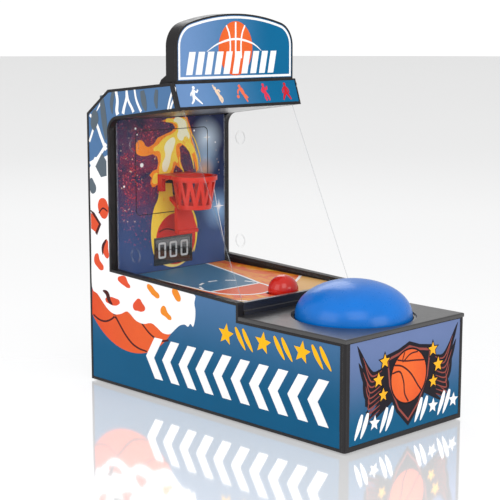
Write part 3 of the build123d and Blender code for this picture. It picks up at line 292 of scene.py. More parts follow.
def printed_surface():
    """Ink under a clear film: a fine dot screen, faint roller bands, hairline scuffs and orange peel."""
    inputs = [("Colour", RGB, None), ("Gloss", FLOAT, 0.34), ("Scuffs", FLOAT, 0.4)]
    tree, given, out = new_group("printed_surface", inputs, SURFACE_OUTPUTS)
    place = object_place(tree)
    dots = spread(tree, cells(tree, place, 2400.0), 0.1, 0.7, 0.975, 1.02)
    clouds = spread(tree, noise(tree, place, 26.0, 4.0, 0.6), 0.3, 0.7, 0.955, 1.03)
    tone = maths(tree, "MULTIPLY", dots, clouds)
    shade = add(tree, "ShaderNodeCombineColor", {"Red": tone, "Green": tone, "Blue": tone}).outputs["Color"]
    long_way = stretched(tree, place, (60.0, 900.0, 900.0), (0.5, 0.4, 0.7))
    hairs = spread(tree, noise(tree, long_way, 1.0), 0.64, 0.72)
    scuffs = maths(tree, "MULTIPLY", hairs, given.outputs["Scuffs"])
    peel = maths(tree, "ADD", noise(tree, place, 700.0), maths(tree, "MULTIPLY", scuffs, -0.6))
    feed(tree, out, {
        "Colour": blend_colours(tree, 1.0, given.outputs["Colour"], shade, "MULTIPLY"),
        "Roughness": maths(tree, "ADD", given.outputs["Gloss"], maths(tree, "MULTIPLY", scuffs, 0.22), True),
        "Normal": bumped(tree, peel, 0.12, 0.03),
    })


def new_material(name, **constants):
    """A material with one Principled BSDF, whose constants sit on its own sockets."""
    material = bpy.data.materials.new(name)
    material.use_nodes = True
    tree = material.node_tree
    shader = tree.nodes["Principled BSDF"]
    feed(tree, shader, {key.replace("_", " "): value for key, value in constants.items()})
    return material, tree, shader


def surface_from_group(tree, shader, group_name, values):
    """Feeds a surface group's colour, roughness and normal to the shader."""
    look = add(tree, "ShaderNodeGroup", values, node_tree=bpy.data.node_groups[group_name]).outputs
    feed(tree, shader, {"Base Color": look["Colour"]} | {key: look[key] for key in ("Roughness", "Normal")})


def moulded(name, base, gloss, grain=2600.0, depth=0.3, wear=0.3, **constants):
    """A moulded plastic."""
    _, tree, shader = new_material(name, **constants)
    values = {"Colour": base, "Gloss": gloss, "Grain": grain, "Depth": depth, "Wear": wear}
    surface_from_group(tree, shader, "moulded_surface", values)


def printed(name, base, scuffs=0.4):
    """An ink, from a colour or from a function that builds one in the material's tree."""
    _, tree, shader = new_material(name, Coat_Weight=0.03, Coat_Roughness=0.1, Specular_IOR_Level=0.1)
    made = base(tree) if callable(base) else base
    gloss = bpy.context.scene.machine_sizes.print_gloss
    surface_from_group(tree, shader, "printed_surface", {"Colour": made, "Gloss": gloss, "Scuffs": scuffs})


def along(tree, axis, low, high):
    """How far a point is from low to high along an axis, from 0 to 1."""
    place = object_place(tree)
    parts = add(tree, "ShaderNodeSeparateXYZ", {"Vector": place})
    return spread(tree, parts.outputs[axis], low * MM, high * MM, smooth=True)


def gradient(axis, low, high, first, second):
    """A colour that runs evenly from first at low to second at high, in millimetres."""

    def build(tree):
        return blend_colours(tree, along(tree, axis, low, high), first, second)

    return build


def glow(tree, place, centre, radius, power=1.6):
    """A soft round light on a flat print: 1 at its centre, 0 at its radius."""
    values = {0: place, 1: [c * MM for c in centre]}
    away = add(tree, "ShaderNodeVectorMath", values, operation="DISTANCE").outputs["Value"]
    return maths(tree, "POWER", spread(tree, away, radius * MM, 0.0), power)


# ---------------------------------------------------------------- artwork tools


def circle(x, y, radius, height=None, points=20):
    """A round outline, or an oval one."""
    turns = [2 * math.pi * i / points for i in range(points)]
    return "AUTO", [(x + radius * math.cos(t), y + (height or radius) * math.sin(t)) for t in turns]


def polygon(*points):
    """An outline with sharp corners."""
    return "VECTOR", list(points)


def blob(*points):
    """A smooth closed outline."""
    return "AUTO", list(points)


def star(x, y, radius, turn=90.0, waist=0.45, tips=5):
    """A star."""
    points = []
    for i in range(2 * tips):
        angle = math.radians(turn) + math.pi * i / tips
        reach = radius if i % 2 == 0 else radius * waist
        points.append((x + reach * math.cos(angle), y + reach * math.sin(angle)))
    return polygon(*points)


def chevron(x, y, width, height, thickness):
    """An arrowhead stripe that points along +x."""
    half = height / 2
    return polygon(
        (x, y + half),
        (x + thickness, y + half),
        (x + width + thickness, y),
        (x + thickness, y - half),
        (x, y - half),
        (x + width, y),
    )


def clipped(points, axis, limit, above):
    """The part of a sharp outline on one side of a line. Axis 0 is x and 1 is y."""
    kept = []
    for here, there in zip(points, [*points[1:], points[0]]):
        gap, next_gap = here[axis] - limit, there[axis] - limit
        if not above:
            gap, next_gap = -gap, -next_gap
        if gap >= 0:
            kept.append(here)
        if gap * next_gap < 0:
            t = gap / (gap - next_gap)
            kept.append(tuple(a + (b - a) * t for a, b in zip(here, there)))
    return kept


def around_window(points, left, right, low, high):
    """A sharp outline with a rectangle left out, as up to four outlines."""
    middle = clipped(clipped(points, 1, low, True), 1, high, False)
    parts = (
        clipped(points, 1, high, True),
        clipped(points, 1, low, False),
        clipped(middle, 0, left, False),
        clipped(middle, 0, right, True),
    )
    return [polygon(*part) for part in parts if len(part) > 2]


def smooth_line(points, steps=6):
    """A smooth line through the points."""
    padded = [points[0], *points, points[-1]]
    line = []
    for a, b, c, d in zip(padded, padded[1:], padded[2:], padded[3:]):
        for i in range(steps):
            t = i / steps
            line.append(tuple(
                0.5 * (
                    2 * q + (r - p) * t + (2 * p - 5 * q + 4 * r - s) * t * t
                    + (3 * q - p - 3 * r + s) * t**3
                )
                for p, q, r, s in zip(a, b, c, d)
            ))
    return [*line, tuple(points[-1])]


def stroke(points, width, tip=None, tail=None):
    """A brush stroke along a smooth line. Tip and tail are the widths at its ends."""
    line = smooth_line(points)
    count = len(line) - 1
    first = width if tail is None else tail
    last = width if tip is None else tip
    left, right = [], []
    for i, (x, y) in enumerate(line):
        before, after = line[max(i - 1, 0)], line[min(i + 1, count)]
        run = Vector((after[0] - before[0], after[1] - before[1])).normalized()
        t = i / count
        swell = math.sin(math.pi * t) if tip is not None and tail is not None else 1.0
        half = ((1 - t) * first + t * last) / 2
        if tip is not None and tail is not None:
            half += (width - (first + last) / 2) / 2 * swell
        left.append((x - run.y * half, y + run.x * half))
        right.append((x + run.y * half, y - run.x * half))
    return polygon(*left, *reversed(right))


def arc_points(x, y, radius, start, end, count, height=None):
    """Points on an arc, by its angles in degrees."""
    angles = [math.radians(start + (end - start) * i / (count - 1)) for i in range(count)]
    return [(x + radius * math.cos(a), y + (height or radius) * math.sin(a)) for a in angles]


def mirrored(shapes):
    """The same outlines with x reversed."""
    return [(kind, [(-x, y) for x, y in reversed(points)]) for kind, points in shapes]


def moved(shapes, x, y):
    """The same outlines, shifted."""
    return [(kind, [(u + x, v + y) for u, v in points]) for kind, points in shapes]


def face_matrix(origin, across, up):
    """Places a drawing in millimetres on a face: its x runs across, its y up, and its ink stands outwards."""
    across, up = Vector(across).normalized(), Vector(up).normalized()
    out = across.cross(up)
    turn = Matrix((across, up, out)).transposed().to_4x4()
    return Matrix.Translation(Vector(origin)) @ turn @ Matrix.Scale(MM, 4)


def copied_node(name):
    """A plain copy of a CAD node's mesh, in the same place, to be worked on as a piece of its own."""
    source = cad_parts[name]
    piece = source.copy()
    piece.data = source.data.copy()
    piece.animation_data_clear()
    for key in list(piece.keys()):
        del piece[key]
    piece.parent = None
    bpy.context.scene.collection.objects.link(piece)
    return piece


def finish_piece(piece, name, material, body):
    """Names a piece, gives it its finish, and lets it ride."""
    piece.name = piece.data.name = name
    piece.data.materials.clear()
    piece.data.materials.append(bpy.data.materials[material])
    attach(piece, body)
    return piece


def cut_ink(name, face, layer, shapes, material, stacked=False):
    """Cuts flat shapes as one thin layer of ink on a face. Stacked shapes may cross each other."""
    sizes = bpy.context.scene.machine_sizes
    groups = [[shape] for shape in shapes] if stacked else [shapes]
    sheets = []
    for number, group in enumerate(groups):
        thickness = (layer * sizes.ink_step + number * sizes.stack_step) / MM
        bpy.ops.object.select_all(action="DESELECT")
        bpy.ops.curve.primitive_bezier_circle_add(location=(0.0, 0.0, thickness / 2))
        drawing = bpy.context.object
        drawing.data.splines.clear()
        drawing.data.dimensions = "2D"
        drawing.data.fill_mode = "BOTH"
        drawing.data.resolution_u = CURVE_STEPS
        drawing.data.extrude = thickness / 2
        for kind, points in group:
            spline = drawing.data.splines.new("BEZIER")
            spline.bezier_points.add(len(points) - 1)
            spline.use_cyclic_u = True
            for knot, (x, y) in zip(spline.bezier_points, points):
                knot.handle_left_type = knot.handle_right_type = kind
                knot.co = (x, y, 0.0)
        bpy.ops.object.convert(target="MESH")
        sheets.append(bpy.context.object)
    for sheet in sheets:
        sheet.select_set(True)
    if len(sheets) > 1:
        bpy.ops.object.join()
    piece = bpy.context.object
    bpy.ops.object.transform_apply(location=True, rotation=False, scale=False)
    bpy.ops.object.mode_set(mode="EDIT")
    bpy.ops.mesh.select_all(action="SELECT")
    bpy.ops.mesh.remove_doubles(threshold=WELD)
    bpy.ops.mesh.select_all(action="SELECT")
    bpy.ops.mesh.normals_make_consistent(inside=False)
    bpy.ops.object.mode_set(mode="OBJECT")
    piece.matrix_world = face
    bpy.ops.object.transform_apply(location=True, rotation=True, scale=True)
    finish_piece(piece, name, material, "cabinet")


def print_inks(face, inks):
    """Cuts one face's inks. Each says its name, layer, shapes, material and whether they stack."""
    for name, *ink in inks:
        cut_ink(name, face, *ink)


def outer_corner(node, axis, side):
    """A node's lowest or highest coordinate along an axis, in metres."""
    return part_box(node)[side > 0][axis]


def upright_face(node):
    """The front face of an upright sheet."""
    return face_matrix((0.0, outer_corner(node, 1, -1), 0.0), (1, 0, 0), UP)


# ---------------------------------------------------------------- finishes


class HOOP_OT_surface_groups(bpy.types.Operator):
    """Builds the shared surface effects"""

    bl_idname = "hoop.surface_groups"
    bl_label = "Surface effects"

    def execute(self, context):
        moulded_surface(context.scene.machine_sizes.edge_radius)
        printed_surface()
        return {"FINISHED"}


def backboard_print(colours):
    """Night sky with embers, haze and two cold lights."""

    def build(tree):
        on_face = {0: object_place(tree), 1: (1.0, 0.0, 1.0)}
        flat = add(tree, "ShaderNodeVectorMath", on_face, operation="MULTIPLY").outputs[0]
        rise = along(tree, "Z", 150.0, 84.0)
        clouds = spread(tree, noise(tree, flat, 38.0, 5.0, 0.6, 0.6), 0.3, 0.75)
        night, mist = maths(tree, "MULTIPLY", rise, 0.75), maths(tree, "MULTIPLY", clouds, 0.35)
        depth = maths(tree, "ADD", night, mist, True)
        sky = blend_colours(tree, depth, colours.night_navy, colours.night_blue)
        warm = glow(tree, flat, (-16.0, 0.0, 150.0), 50.0, 1.0)
        smoke = spread(tree, noise(tree, flat, 70.0, 5.0, 0.65, 1.0), 0.35, 0.7)
        warm = maths(tree, "MULTIPLY", warm, smoke)
        sky = blend_colours(tree, maths(tree, "MULTIPLY", warm, 0.85), sky, paint(176, 38, 62))
        for centre, radius, strength, tint in (
            ((32.0, 0.0, 167.0), 17.0, 1.0, paint(214, 234, 250)),
            ((31.0, 0.0, 153.0), 15.0, 0.85, paint(160, 192, 222)),
            ((30.0, 0.0, 145.0), 10.0, 0.6, paint(240, 184, 130)),
            ((43.0, 0.0, 115.0), 17.0, 0.9, paint(150, 192, 232)),
            ((44.0, 0.0, 117.0), 3.0, 1.0, paint(255, 255, 255)),
        ):
            light = maths(tree, "MULTIPLY", glow(tree, flat, centre, radius, 1.2), strength)
            sky = blend_colours(tree, light, sky, tint)
        for scale, size, reach, tint in (
            (620.0, 0.36, 44.0, paint(248, 66, 52)),
            (400.0, 0.29, 56.0, paint(226, 84, 118)),
            (270.0, 0.18, 70.0, paint(255, 216, 186)),
        ):
            near = glow(tree, flat, (-20.0, 0.0, 148.0), reach, 0.4)
            dots = maths(tree, "MULTIPLY", spread(tree, cells(tree, flat, scale), size, size * 0.4), near)
            patches = spread(tree, noise(tree, flat, scale * 0.11, 2.0), 0.46, 0.56)
            sky = blend_colours(tree, maths(tree, "MULTIPLY", dots, patches), sky, tint)
        return sky

    return build


def flame_print(edge, core, low, high):
    """Licks of flame that run upwards from one colour to another."""

    def build(tree):
        upwards = stretched(tree, object_place(tree), (1.0, 1.0, 0.4))
        licks = noise(tree, upwards, 210.0, 6.0, 0.65, 2.6)
        return blend_colours(tree, spread(tree, licks, low, high), edge, core)

    return build


def court_print(colours):
    """Orange floor with amber flames that run towards the board."""

    def build(tree):
        backwards = stretched(tree, object_place(tree), (1.0, 0.32, 1.0), (0.0, 0.0, -0.6))
        licks = noise(tree, backwards, 95.0, 5.0, 0.6, 1.8)
        warm = blend_colours(tree, spread(tree, licks, 0.42, 0.62), colours.court_orange, paint(246, 168, 44))
        return blend_colours(tree, spread(tree, licks, 0.6, 0.72), warm, paint(252, 218, 92))

    return build


def ball_print(colours, centre, radius):
    """A printed ball: orange, deeper towards its rim and its lower side."""

    def build(tree):
        place = object_place(tree)
        bright = glow(tree, place, centre, radius, 0.7)
        pebbles = spread(tree, cells(tree, place, 900.0), 0.0, 0.8, 0.06, -0.06)
        tone = maths(tree, "ADD", bright, pebbles, True)
        return blend_colours(tree, tone, colours.ball_deep, colours.ball_orange)

    return build


class HOOP_OT_finishes(bpy.types.Operator):
    """Mixes the plastics, the metal, the rubber and the inks"""

    bl_idname = "hoop.finishes"
    bl_label = "Finishes"

    def execute(self, context):
        c, s = context.scene.machine_colours, context.scene.machine_sizes
        # name, colour, roughness, grain scale, grain depth, edge wear
        moulded("cabinet_plastic", c.cabinet_black, s.black_gloss, 2200.0, 0.35, 0.5, Specular_IOR_Level=0.22)
        moulded(
            "deck_plastic", c.cabinet_black, 0.42, 2200.0, 0.25, 0.5,
            Specular_IOR_Level=0.5, Coat_Weight=0.9, Coat_Roughness=0.34,
        )
        moulded("inner_plastic", c.inner_black, 0.5, 1600.0, 0.5, 0.15)
        moulded("trim_plastic", c.trim_black, 0.14, 1500.0, 0.06, 0.35, Coat_Weight=0.6, Coat_Roughness=0.05)
        moulded("foot_rubber", c.feet_black, 0.78, 3200.0, 0.8, 0.2)
        moulded(
            "dome_plastic", c.dome_blue, 0.3, 900.0, 0.05, 0.1,
            Coat_Weight=0.2, Coat_Roughness=0.16, Specular_IOR_Level=0.3,
        )
        moulded(
            "hoop_plastic", c.hoop_red, 0.36, 1800.0, 0.25, 0.25,
            Specular_IOR_Level=0.28, Coat_Weight=0.05, Coat_Roughness=0.2,
        )
        moulded(
            "ball_plastic", c.ball_red, 0.22, 1400.0, 0.3, 0.0,
            Coat_Weight=0.4, Coat_Roughness=0.1, Specular_IOR_Level=0.35,
        )
        moulded("digit_film", c.lcd_grey, 0.45, 2600.0, 0.1, 0.0)
        moulded("board_resist", paint(24, 92, 52), 0.3, 900.0, 0.2, 0.0)
        moulded("cell_sleeve", paint(44, 46, 52), 0.22, 1200.0, 0.1, 0.2, Coat_Weight=0.4)
        moulded("wire_red", paint(186, 30, 30), 0.42, 1500.0, 0.1, 0.0)
        printed("side_label", gradient("Z", 22.0, 92.0, c.label_foot, c.label_top))
        printed("front_label", gradient("Z", 10.0, 62.0, c.front_foot, c.front_top))
        printed("header_label", gradient("X", -50.0, 34.0, c.header_left, c.header_right))
        printed("court_label", court_print(c))
        printed("backboard_label", backboard_print(c), 0.25)
        for ink in (
            "white_ink", "seam_brown", "spot_red", "spot_amber", "net_slate", "brush_yellow",
            "shield_black", "shield_brown", "star_gold", "lane_blue", "court_orange", "court_tan",
        ):
            printed(ink, getattr(c, ink))
        printed("black_ink", paint(16, 15, 22))
        for ink, red, green, blue in (
            ("figure_cream", 244, 214, 186),
            ("figure_orange", 246, 118, 84),
            ("figure_rose", 226, 58, 84),
            ("figure_red", 206, 34, 48),
            ("ball_red_ink", 218, 54, 46),
            ("pale_yellow_ink", 252, 222, 130),
        ):
            printed(ink, paint(red, green, blue))
        printed("side_ball_ink", ball_print(c, (0.0, 48.0, 56.0), 90.0))
        printed("front_ball_ink", ball_print(c, (-3.0, -119.8, 42.0), 30.0))
        printed("header_ball_ink", ball_print(c, (-1.0, 28.9, 238.0), 34.0))
        printed("flame_orange_ink", flame_print(paint(226, 74, 24), c.flame_orange, 0.3, 0.46))
        printed("flame_yellow_ink", flame_print(c.flame_orange, c.flame_yellow, 0.24, 0.42))
        printed("flame_cream_ink", flame_print(c.flame_yellow, c.flame_cream, 0.2, 0.38))
        self.steel(c)
        self.window(c, s)
        self.window_edge()
        self.lcd(c)
        return {"FINISHED"}

    def steel(self, c):
        """Zinc-plated steel with fine drawn lines and dull patches."""
        _, tree, shader = new_material("zinc_steel", Base_Color=c.steel, Metallic=1.0)
        place = object_place(tree)
        drawn = noise(tree, stretched(tree, place, (3000.0, 300.0, 3000.0)), 1.0, 3.0, 0.6)
        dull = spread(tree, noise(tree, place, 260.0, 3.0, 0.6), 0.4, 0.7, 0.0, 0.16)
        rough = maths(tree, "ADD", spread(tree, drawn, 0.3, 0.7, 0.2, 0.3), dull)
        feed(tree, shader, {"Roughness": rough, "Normal": bumped(tree, drawn, 0.2, 0.01)})

    def window(self, c, s):
        """Clear styrene: nearly nothing head on and more at a glance, with a few hairlines. At a glance its
        white base colour is a painted reflection beside the shader's real gloss.
        """
        material, tree, shader = new_material("window_clear", Base_Color=c.window, Specular_IOR_Level=0.6)
        place = object_place(tree)
        smears = noise(tree, place, 40.0, 3.0, 0.6, 1.0)
        hairs = stretched(tree, place, (900.0, 900.0, 40.0), (0.8, 0.2, 0.0))
        scratches = maths(tree, "MULTIPLY", spread(tree, noise(tree, hairs, 1.0), 0.66, 0.74), 0.1)
        rough = maths(tree, "ADD", spread(tree, smears, 0.3, 0.7, 0.02, 0.07), scratches)
        glance = add(tree, "ShaderNodeFresnel", {"IOR": 1.3}).outputs[0]
        # partly painted reflection: the Fresnel alpha shows the white base colour at a glance, beside the
        # real gloss
        seen = maths(tree, "ADD", maths(tree, "MULTIPLY", glance, 0.35), s.window_tint, True)
        outside = add(tree, "ShaderNodeNewGeometry").outputs["Backfacing"]
        one_way = maths(tree, "MULTIPLY", seen, maths(tree, "SUBTRACT", 1.0, outside))
        feed(tree, shader, {"Roughness": rough, "Alpha": one_way})
        material.surface_render_method = "BLENDED"

    def window_edge(self):
        """The windows' sawn edges and round bosses, which catch the light: their grey, streaked colour is a
        painted highlight for that light.
        """
        material, tree, shader = new_material("window_edge", Roughness=0.25, Specular_IOR_Level=0.5)
        streaks = noise(tree, object_place(tree), 220.0, 3.0, 0.6)
        # painted highlight: grey and pale streaks stand in for the light that the clear edges catch
        grey, pale = paint(120, 126, 132), paint(186, 192, 198)
        feed(tree, shader, {
            "Base Color": blend_colours(tree, spread(tree, streaks, 0.35, 0.65), grey, pale),
            "Alpha": spread(tree, streaks, 0.3, 0.7, 0.22, 0.42),
        })
        material.surface_render_method = "BLENDED"

    def lcd(self, c):
        """Smoked window: black below, with a painted grey sheen in the colour of its upper third."""
        constants = {"Coat_Weight": 0.8, "Coat_Roughness": 0.04, "Specular_IOR_Level": 0.5}
        _, tree, shader = new_material("lcd_window", **constants)
        # painted sheen: the base colour turns grey towards the top, standing in for a reflection
        painted_sheen = maths(tree, "MULTIPLY", along(tree, "Z", 92.0, 93.2), 0.55)
        feed(tree, shader, {
            "Base Color": blend_colours(tree, painted_sheen, c.lcd_black, paint(120, 122, 124)),
            "Roughness": spread(tree, noise(tree, object_place(tree), 160.0, 3.0), 0.3, 0.7, 0.06, 0.14),
        })


NODE_FINISHES = {
    "cabinet_plastic": (
        "left_side_wall", "right_side_wall", "front_panel", "court_floor", "backboard", "rear_cover",
        "roof_panel", "visor_panel", "header_shell", "header_sign", "base_plate", "battery_door",
    ),
    "deck_plastic": ("deck_cover", "court_riser", "soffit_panel"),
    "inner_plastic": (
        "button_stem", "button_guide", "lever_bracket", "launch_lever", "flap_bracket", "speaker",
        "switch_body", "battery_tray", "score_switch", "switch_knob",
    ),
    "trim_plastic": ("button_bezel", "display_frame"),
    "side_label": ("left_side_sheet", "right_side_sheet"),
    "front_label": ("front_sheet",),
    "header_label": ("header_sheet", "visor_sheet"),
    "court_label": ("court_sheet",),
    "backboard_label": ("backboard_sheet",),
    "window_clear": ("left_window", "right_window"),
    "foot_rubber": ("rubber_feet",),
    "zinc_steel": (
        "rear_screws", "base_screws", "lever_pin", "hoop_screws", "flap_pin", "door_screw",
        "button_spring", "battery_contacts",
    ),
    "dome_plastic": ("dome_button",),
    "hoop_plastic": ("launch_cup", "hoop", "score_flap"),
    "ball_plastic": ("ball",),
    "lcd_window": ("display_glass",),
    "digit_film": ("display_digits",),
    "board_resist": ("main_board",),
    "cell_sleeve": ("batteries",),
    "wire_red": ("battery_wires",),
}


class HOOP_OT_cabinet(bpy.types.Operator):
    """Gives every moulded, metal and printed part its finish"""

    bl_idname = "hoop.cabinet"
    bl_label = "Cabinet and mechanism"

    def execute(self, context):
        for finish, names in NODE_FINISHES.items():
            for name in names:
                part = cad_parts[name]
                part.data.materials.clear()
                part.data.materials.append(bpy.data.materials[finish])
        for name in NODE_FINISHES["window_clear"]:
            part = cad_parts[name]
            part.data.materials.append(bpy.data.materials["window_edge"])
            for face in part.data.polygons:
                face.material_index = int(abs(face.normal.x) < 0.5)
        unfinished = set(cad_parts) - {n for names in NODE_FINISHES.values() for n in names}
        if unfinished:
            raise ValueError(f"no finish for {sorted(unfinished)}")
        self.coil()
        return {"FINISHED"}

    def coil(self):
        """The button's spring, as a piece of its own with its own mesh, riding with the button."""
        coil = finish_piece(copied_node("button_spring"), "button_coil", "zinc_steel", "button")
        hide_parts("button_spring")
        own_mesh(coil)


# ---------------------------------------------------------------- printed artwork


def side_artwork():
    """The side's shapes in millimetres: x runs from the front to the back of the machine, y up."""
    ball = ("VECTOR", [
        *arc_points(76, 82, 54.5, -39, -140, 30),
        (34, 58), (60, 62), (96, 62), (112, 70), (117.6, 68),
    ])
    net = ("VECTOR", smooth_line([
        (117.9, 150), (117.9, 118), (117.9, 90), (117.9, 67), (112, 63), (106, 58), (100, 53.5),
        (93, 51.3), (86, 52.6), (80, 55.2), (76, 54), (70, 50.4), (62, 49.4), (54, 51.2), (48, 49.2),
        (42, 46.4), (35, 46.8), (30, 50.5), (25, 54.2), (20, 55.6), (17, 54.6), (14.5, 57), (12, 55.4),
        (10.2, 60), (9.6, 66), (10.6, 71), (9.4, 75.4),
    ], 3) + [(10.6, 76.6), (97.9, 80.2), (97.9, 160), (106, 157), (112, 158)])
    spots_red = [
        blob((89, 76.5), (85, 79), (80.5, 79), (78, 75.5), (75.5, 72.5), (78, 71.6), (82, 72.6), (86, 74)),
        blob((103, 60), (98, 62.5), (93, 62.6), (87, 60.5), (89, 58.4), (93, 57.2), (98, 57.6)),
        blob((73, 60), (70.5, 63.6), (66, 66), (63, 63.5), (60, 60), (63, 57.6), (68, 57.4), (71.6, 57.6)),
        blob((115, 86), (111, 91.5), (108.5, 87), (104.2, 81.8), (107, 80), (111, 81.6)),
        polygon((117.6, 119), (113, 117), (107.5, 112), (111, 105.5), (117.6, 108)),
        blob((104.5, 130.4), (99.6, 128.4), (98.8, 119), (103.5, 116.2), (108.6, 121), (109, 127)),
        blob((104.8, 96.4), (100.4, 102.2), (98.9, 96), (99, 89.4), (103, 90.6)),
    ]
    spots_amber = [
        blob((57.8, 76.4), (54, 77), (49.4, 74), (45, 70.6), (46.4, 69), (50.6, 69.8), (54.6, 72)),
        blob((32.2, 77), (28.6, 78), (25, 75), (23.8, 71.2), (26, 69.8), (30, 72)),
        blob((44, 60), (42.8, 64), (40, 64.8), (37, 61), (33, 57.4), (35, 56.2), (39.4, 57.8)),
    ]
    spots_dark = [
        stroke([(105.5, 66), (101, 64.6), (98.6, 60), (95, 57.6)], 4, 0.4, 0.8),
        polygon(
            (117.7, 121), (113.6, 119.4), (106.2, 112.2), (111, 104), (113, 105.6), (108.8, 112),
            (117.7, 120),
        ),
        stroke([(108.6, 119.6), (104, 123.4), (99, 121.8)], 1.1),
        stroke([(105, 91), (104.6, 97), (100.4, 102.4)], 2.6, 0.4, 0.4),
    ]
    slates = [
        polygon((99.2, 156), (104, 161), (111.5, 151.5), (105.5, 144.5), (99.2, 146)),
        blob((117, 143.2), (113.2, 140.6), (111, 136), (114, 132.6), (117, 133.2)),
        blob((114.6, 186.6), (111, 190), (107.4, 186), (109.4, 179), (113, 176)),
        stroke([(103.6, 200), (102, 190), (100.2, 178), (99.4, 170)], 5.6, 0.6, 3),
        stroke([(90.4, 203), (92.6, 195), (92, 188)], 3.4, 0.5, 2.6),
        stroke([(60.4, 204.5), (58.6, 197), (56.8, 191.5)], 5.2, 0.8, 3.6),
        stroke([(45.6, 205.6), (46.6, 199), (45.6, 193.5)], 3.8, 0.8, 2.4),
    ]
    seams = [
        stroke([(94.6, 52.4), (89, 46.4), (82, 39.2), (74.6, 34), (67, 31.6), (58.6, 31)], 1.5, 1, 1.5),
        stroke([(117, 47.4), (110, 44.8), (103, 44.8), (96, 47.6), (92.4, 50.6)], 1.3),
        stroke([(65, 50.4), (56, 44), (46, 40.6), (36.4, 42.4)], 1.3),
    ]
    strands = [
        stroke([(116.8, 186.4), (110.5, 182), (104.8, 172), (99.4, 163.5)], 2.2, 3),
        stroke([(117.7, 153), (110, 156.6), (103.4, 162.8), (99.2, 167.6)], 2.4),
        stroke([(88.2, 204.4), (86.4, 197.6), (87.2, 190.8), (86.2, 187.8)], 2.4, 3.4),
        stroke([(76.6, 204.8), (76.8, 199), (79.4, 192.6), (80.6, 188.6)], 1.8, 2.8),
        stroke([(76.4, 204.8), (75, 198), (71.4, 193), (69.6, 190.2)], 1.6, 2.4),
        stroke([(68.2, 205.2), (66.8, 199), (63.6, 193.4), (61.6, 190.9)], 1.6, 2.2),
        stroke([(34.8, 193.2), (32.6, 200), (29.4, 206.2), (27.2, 207.2)], 1.7),
        stroke([(27.4, 207.6), (27.8, 202.6), (31, 196.6), (32.4, 193.6)], 1.2, 1.8),
        stroke([(109.4, 189), (104.4, 195), (100.8, 201.4)], 1.6, 2, 0.4),
        stroke([(112.6, 177.8), (117.8, 168)], 1.8),
    ]
    bars = [chevron(50.6 - 16.6 * i, 28, 9, 28, -8.2) for i in range(10)]
    marks = [star(x, 55.6, 7.2, 96) for x in (-19, -52, -85)]
    for x in (-32, -38.5, -66, -72.5, -97.5, -104):
        marks.append(stroke([(x + 4.4, 61.6), (x + 0.6, 55.4), (x - 4.6, 48.4)], 3.4, 0.5, 1.2))
    return [
        ("ball", 1, [ball], "side_ball_ink"),
        ("ball_seams", 2, seams, "seam_brown"),
        ("net", 3, [net], "white_ink"),
        ("net_strands", 1, strands, "white_ink", True),
        ("net_slates", 4, slates, "net_slate"),
        ("net_red_spots", 4, spots_red, "spot_red"),
        ("net_amber_spots", 4, spots_amber, "spot_amber"),
        ("net_dark_spots", 4.4, spots_dark, "seam_brown"),
        ("stripes", 4, bars, "white_ink"),
        ("brush_marks", 2, marks, "brush_yellow", True),
    ]


class HOOP_OT_side_art(bpy.types.Operator):
    """Prints the ball, the net and the stripes on both sides of the cabinet"""

    bl_idname = "hoop.side_art"
    bl_label = "Side labels"

    def execute(self, context):
        left_x, right_x = outer_corner("left_side_sheet", 0, -1), outer_corner("right_side_sheet", 0, 1)
        left = face_matrix((left_x, 0, 0), (0, -1, 0), UP)
        right = face_matrix((right_x, 0, 0), (0, 1, 0), UP)
        for name, layer, shapes, ink, *stacked in side_artwork():
            cut_ink(f"left_{name}", left, layer, mirrored(shapes), ink, *stacked)
            cut_ink(f"right_{name}", right, layer, shapes, ink, *stacked)
        return {"FINISHED"}


def grown(stars):
    """Slightly larger stars, to lie behind the gold ones."""
    larger = []
    for _, points in stars:
        x, y = (sum(values) / len(points) for values in zip(*points))
        larger.append(star(x, y, math.dist((x, y), points[0]) + 1.5))
    return larger


